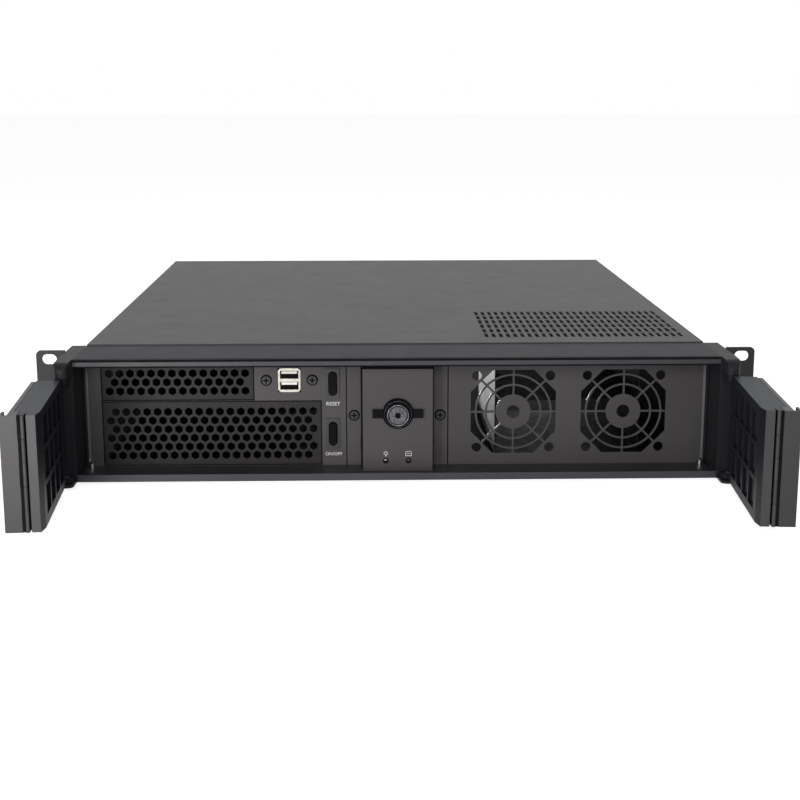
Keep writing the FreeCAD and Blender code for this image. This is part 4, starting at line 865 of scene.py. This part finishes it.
# Painted shade: a black sheet under the vents.
strip("cover_vent_shade_sheet", (vents_low.x + SHEET_MARGIN, vents_low.y + SHEET_MARGIN, vents_low.z - 0.5 * MM),
      (vents_high.x - SHEET_MARGIN, vents_high.y - SHEET_MARGIN, vents_low.z - 0.1 * MM),
      black_and_painted_shade, "case")
print("vents", [round(v / MM, 1) for v in vents_low], [round(v / MM, 1) for v in vents_high])

# %% [markdown]
# ## Shade in the folds
# Where a door folds, a dark strip of painted shade lies in the groove at the end of its inner leaf.
# Its corners could be worked out in the frame, but they are plain numbers in the leaf's own
# directions: along the leaf, outward and up. A matrix takes such a point to its place on the open
# door.

# %% Leaf directions and shade in the folds
DOOR_AXIS = {"left": Vector((-HINGE_X, HINGE_Y, 0.0)), "right": Vector((HINGE_X, HINGE_Y, 0.0))}
FOLD_END = 108.0 * MM


def leaf_matrix(side):
    hand = -1 if side == "left" else 1
    along = Vector((-hand * math.cos(OPEN_ANGLE), -math.sin(OPEN_ANGLE), 0))
    outward = Vector((hand * math.sin(OPEN_ANGLE), -math.cos(OPEN_ANGLE), 0))
    columns = Matrix((along, outward, Vector((0, 0, 1)))).transposed().to_4x4()
    return Matrix.Translation(DOOR_AXIS[side]) @ columns


door_low, door_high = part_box("left_door_leaf")
for side in ("left", "right"):
    # Painted shade in the groove of each fold.
    strip(side + "_fold_shade", (FOLD_END - 0.3 * MM, 10.25 * MM, door_low.z + 0.2 * MM),
          (FOLD_END + 0.08 * MM, 12.05 * MM, door_high.z - 0.2 * MM), black_and_painted_shade,
          side + "_fold", leaf_matrix(side))
print("doors are", round((door_high.z - door_low.z) / MM, 1), "mm tall")

# %% [markdown]
# ## A tree that weaves
# Behind the windows of each door lies a black filter of woven thread. An image with holes could
# stand for it, but a weave repeats, so a node tree makes it: a grid of points, its edges as
# curves, and a three-sided thread along each. Its size and counts are inputs.

# %% Node tree of the weave
FILTER_REACH = 83.0 * MM
FILTER_START = 10.8 * MM
FILTER_DEPTH = 2.4 * MM
THREAD_PITCH = 1.6 * MM
THREAD_RADIUS = 0.28 * MM
THREAD_SIDES = 3


def group_input(tree, name, kind, value):
    socket = tree.interface.new_socket(name=name, in_out="INPUT", socket_type=kind)
    socket.default_value = value


def finish_tree(tree, result, material):
    # Both trees end alike: copies become real geometry, which then gets its material.
    tree.interface.new_socket(name="Geometry", in_out="OUTPUT", socket_type="NodeSocketGeometry")
    made = tree.nodes.new("NodeGroupOutput")
    real = tree.nodes.new("GeometryNodeRealizeInstances")
    tree.links.new(result, real.inputs["Geometry"])
    paint = tree.nodes.new("GeometryNodeSetMaterial")
    paint.inputs["Material"].default_value = material
    tree.links.new(real.outputs["Geometry"], paint.inputs["Geometry"])
    tree.links.new(paint.outputs["Geometry"], made.inputs["Geometry"])


def weave_tree():
    tree = bpy.data.node_groups.new("filter_weave", "GeometryNodeTree")
    group_input(tree, "Length", "NodeSocketFloat", FILTER_REACH)
    group_input(tree, "Height", "NodeSocketFloat", FILTER_REACH)
    group_input(tree, "Columns", "NodeSocketInt", 40)
    group_input(tree, "Rows", "NodeSocketInt", 30)
    group_input(tree, "Thread Radius", "NodeSocketFloat", THREAD_RADIUS)
    given = tree.nodes.new("NodeGroupInput")
    grid = tree.nodes.new("GeometryNodeMeshGrid")
    tree.links.new(given.outputs["Length"], grid.inputs["Size X"])
    tree.links.new(given.outputs["Height"], grid.inputs["Size Y"])
    tree.links.new(given.outputs["Columns"], grid.inputs["Vertices X"])
    tree.links.new(given.outputs["Rows"], grid.inputs["Vertices Y"])
    threads = tree.nodes.new("GeometryNodeMeshToCurve")
    tree.links.new(grid.outputs["Mesh"], threads.inputs["Mesh"])
    section = tree.nodes.new("GeometryNodeCurvePrimitiveCircle")
    section.inputs["Resolution"].default_value = THREAD_SIDES
    tree.links.new(given.outputs["Thread Radius"], section.inputs["Radius"])
    tube = tree.nodes.new("GeometryNodeCurveToMesh")
    tree.links.new(threads.outputs["Curve"], tube.inputs["Curve"])
    tree.links.new(section.outputs["Curve"], tube.inputs["Profile Curve"])
    finish_tree(tree, tube.outputs["Mesh"], filter_thread)
    return tree


weave = weave_tree()
print("weave:", len(weave.nodes), "nodes")

# %% [markdown]
# ## The filters
# The tree runs as a modifier on an empty object. It could stay there, but a plain mesh travels to
# other programs, so the result is kept and the modifier is removed. An input is set by its
# identifier, which stays the same when a name changes.

# %% Filter in each door
def grown_mesh(name, tree, values):
    host = bpy.data.objects.new(name + "_host", bpy.data.meshes.new(name + "_host"))
    bpy.context.scene.collection.objects.link(host)
    modifier = host.modifiers.new("grow", "NODES")
    modifier.node_group = tree
    for item in tree.interface.items_tree:
        if item.item_type == "SOCKET" and item.in_out == "INPUT" and item.name in values:
            modifier[item.identifier] = values[item.name]
    graph = bpy.context.evaluated_depsgraph_get()
    mesh = bpy.data.meshes.new_from_object(host.evaluated_get(graph))
    mesh.name = name
    host.modifiers.clear()
    bpy.data.objects.remove(host)
    return mesh


for side in ("left", "right"):
    low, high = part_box(side + "_door_filter")
    height = high.z - low.z - 2 * THREAD_RADIUS
    values = {"Length": FILTER_REACH, "Height": height, "Columns": int(FILTER_REACH / THREAD_PITCH),
              "Rows": int(height / THREAD_PITCH), "Thread Radius": THREAD_RADIUS}
    mesh = grown_mesh(side + "_filter_weave", weave, values)
    middle = Matrix.Translation((FILTER_START + FILTER_REACH / 2, FILTER_DEPTH, (low.z + high.z) / 2))
    mesh.transform(leaf_matrix(side) @ middle @ STAND_UP)
    add_piece(side + "_filter_weave", mesh, filter_thread, side + "_door")
    print(side, "filter:", len(mesh.polygons), "faces")

# %% [markdown]
# ## A tree that rivets
# The case is riveted along the foot of each side and up the rear corners. A loop could copy the
# domes one by one, but a line's two ends and its count say all that a row is, so one tree puts a
# low dome on every point of a line.

# %% Node tree of a rivet row
DOME_SEGMENTS = 16
DOME_RINGS = 8
DOME_FLATNESS = 0.32


def rivet_tree():
    tree = bpy.data.node_groups.new("rivet_row", "GeometryNodeTree")
    group_input(tree, "Count", "NodeSocketInt", 6)
    group_input(tree, "Start", "NodeSocketVector", (0, 0, 0))
    group_input(tree, "End", "NodeSocketVector", (1, 0, 0))
    group_input(tree, "Radius", "NodeSocketFloat", 2 * MM)
    group_input(tree, "Turn", "NodeSocketVector", (0, 0, 0))
    given = tree.nodes.new("NodeGroupInput")
    line = tree.nodes.new("GeometryNodeMeshLine")
    line.mode = "END_POINTS"
    tree.links.new(given.outputs["Count"], line.inputs["Count"])
    tree.links.new(given.outputs["Start"], line.inputs["Start Location"])
    tree.links.new(given.outputs["End"], line.inputs["Offset"])
    dome = tree.nodes.new("GeometryNodeMeshUVSphere")
    dome.inputs["Segments"].default_value = DOME_SEGMENTS
    dome.inputs["Rings"].default_value = DOME_RINGS
    tree.links.new(given.outputs["Radius"], dome.inputs["Radius"])
    flat = tree.nodes.new("GeometryNodeTransform")
    flat.inputs["Scale"].default_value = (1.0, 1.0, DOME_FLATNESS)
    tree.links.new(dome.outputs["Mesh"], flat.inputs["Geometry"])
    tree.links.new(given.outputs["Turn"], flat.inputs["Rotation"])
    spread = tree.nodes.new("GeometryNodeInstanceOnPoints")
    tree.links.new(line.outputs["Mesh"], spread.inputs["Points"])
    tree.links.new(flat.outputs["Geometry"], spread.inputs["Instance"])
    finish_tree(tree, spread.outputs["Instances"], case_coat)
    return tree


rivets = rivet_tree()
print("rivets:", len(rivets.nodes), "nodes")

# %% [markdown]
# ## The rows of rivets
# Each row is a run of the tree with its own two ends. Rivets could be aimed one by one, but all
# domes of a row face alike: outward on the sides, and back at the rear.

# %% Rivets
base_low, base_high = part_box("chassis_base")
RIVET_RADIUS = 1.9 * MM
RIVET_RISE = 9.0 * MM
FOOT_RIVETS = 7
REAR_RIVETS = 3
FOOT_START = 60 * MM
REAR_MARGIN = 15 * MM
HEAD_MARGIN = 14 * MM
CORNER_INSET = 4.5 * MM
SIDE_TURN = (0.0, math.radians(90), 0.0)
REAR_TURN = (math.radians(90), 0.0, 0.0)


def rivet_row(name, count, start, end, turn):
    values = {"Count": count, "Start": start, "End": end, "Radius": RIVET_RADIUS, "Turn": turn}
    mesh = grown_mesh(name, rivets, values)
    for face in mesh.polygons:
        face.use_smooth = True
    return add_piece(name, mesh, case_coat, "case")


foot_z = base_low.z + RIVET_RISE
for side, x in (("left", base_low.x), ("right", base_high.x)):
    rivet_row(side + "_foot_rivets", FOOT_RIVETS, (x, FOOT_START, foot_z),
              (x, base_high.y - REAR_MARGIN, foot_z), SIDE_TURN)
    rear_x = x + (CORNER_INSET if side == "left" else -CORNER_INSET)
    rivet_row(side + "_rear_rivets", REAR_RIVETS, (rear_x, base_high.y, foot_z),
              (rear_x, base_high.y, base_high.z - HEAD_MARGIN), REAR_TURN)
print("rivets per side:", FOOT_RIVETS + REAR_RIVETS)

# %% [markdown]
# ## The floor
# The case stands on a pale sweep that keeps its shadow. A brighter lamp could whiten it, but it
# would also bleach the case. So the floor glows for the camera and for reflections alone, through
# the kinds of ray that a Light Path node tells apart, and scatters no glow onto the case.

# %% Floor
FLOOR_GLOW = 0.85
FLOOR_SIZE = 12.0
FLOOR_GAP = 0.2 * MM


def seen_directly(tree):
    # One for rays from the camera and for mirror and glass rays, nought for light that scatters.
    paths = tree.nodes.new("ShaderNodeLightPath")
    mirrored = combine(tree, "MAXIMUM", paths.outputs["Is Camera Ray"], paths.outputs["Is Glossy Ray"])
    return combine(tree, "MAXIMUM", mirrored, paths.outputs["Is Transmission Ray"])


def studio_floor():
    material, tree, shader = new_finish("studio_floor", (0.8, 0.8, 0.8), 0.9, 0.0, 0.1)
    shader.inputs["Emission Color"].default_value = (1.0, 1.0, 1.0, 1.0)
    glow = tree.nodes.new("ShaderNodeMapRange")
    glow.inputs["To Min"].default_value = 0.0
    glow.inputs["To Max"].default_value = FLOOR_GLOW
    tree.links.new(seen_directly(tree), glow.inputs["Value"])
    tree.links.new(glow.outputs["Result"], shader.inputs["Emission Strength"])
    return material


floor_maker = bmesh.new()
bmesh.ops.create_grid(floor_maker, x_segments=1, y_segments=1, size=FLOOR_SIZE)
floor_mesh = mesh_from("floor", floor_maker)
floor_mesh.transform(Matrix.Translation((0, 0, cad_low.z - FLOOR_GAP)))
floor_mesh.materials.append(studio_floor())
floor = bpy.data.objects.new("floor", floor_mesh)
bpy.context.scene.collection.objects.link(floor)
print("floor under", round(cad_low.z / MM, 1), "mm")

# %% [markdown]
# ## Lamps
# A broad panel overhead lights the cover, a second one far in front lights the plate, and a small
# card at the front left lifts the end of the left door. A narrow spot behind the case shines in
# through the rear and onto the side of the disk cage. One large dome of light could replace them,
# but it would flatten the folds of the sheet.

# %% Lamps
def place_lamp(data, place, aim):
    lamp_object = bpy.data.objects.new(data.name, data)
    lamp_object.location = place
    lamp_object.rotation_mode = "QUATERNION"
    lamp_object.rotation_quaternion = (Vector(aim) - Vector(place)).to_track_quat("-Z", "Y")
    bpy.context.scene.collection.objects.link(lamp_object)


def soft_panel(name, place, aim, width, height, power):
    data = bpy.data.lights.new(name, "AREA")
    data.shape = "RECTANGLE"
    data.size = width
    data.size_y = height
    data.energy = power
    place_lamp(data, place, aim)


def narrow_spot(name, place, aim, angle, power):
    data = bpy.data.lights.new(name, "SPOT")
    data.energy = power
    data.spot_size = math.radians(angle)
    data.spot_blend = 0.4
    data.shadow_soft_size = 0.01
    place_lamp(data, place, aim)


soft_panel("overhead", (0.0, 0.35, 1.3), (0, 0.25, 0), width=1.4, height=1.0, power=5.0)
soft_panel("front", (-0.1, -2.6, 0.9), (0, 0, 0), width=1.0, height=0.8, power=42.0)
soft_panel("left_card", (-0.33, -0.70, 0.02), (-0.22, -0.14, 0), width=0.18, height=0.25, power=4.6)
narrow_spot("behind", (-0.15, 1.2, -0.035), (0.07, 0.12, 0.0), angle=4.0, power=27.0)
print("lamps:", [data.name for data in bpy.data.lights])

# %% [markdown]
# ## The world
# A photographer's white room fills the shadows a little. The world could be one plain white, but
# that would light the case too much, so the same mask gives it two strengths: one where it is
# seen or mirrored, and a tenth for the light that it adds.

# %% World
WORLD_FILL = 0.10
world = bpy.data.worlds.new("studio")
bpy.context.scene.world = world
world.use_nodes = True
sky = world.node_tree.nodes["Background"]
sky.inputs["Color"].default_value = (1, 1, 1, 1)
level = world.node_tree.nodes.new("ShaderNodeMapRange")
level.inputs["To Min"].default_value = WORLD_FILL
level.inputs["To Max"].default_value = 1.0
world.node_tree.links.new(seen_directly(world.node_tree), level.inputs["Value"])
world.node_tree.links.new(level.outputs["Result"], sky.inputs["Strength"])
bpy.context.scene.view_settings.view_transform = "Standard"
print("world fill", WORLD_FILL)

# %% [markdown]
# ## Last update
# The view layer is brought up to date.

# %% Update
bpy.context.view_layer.update()
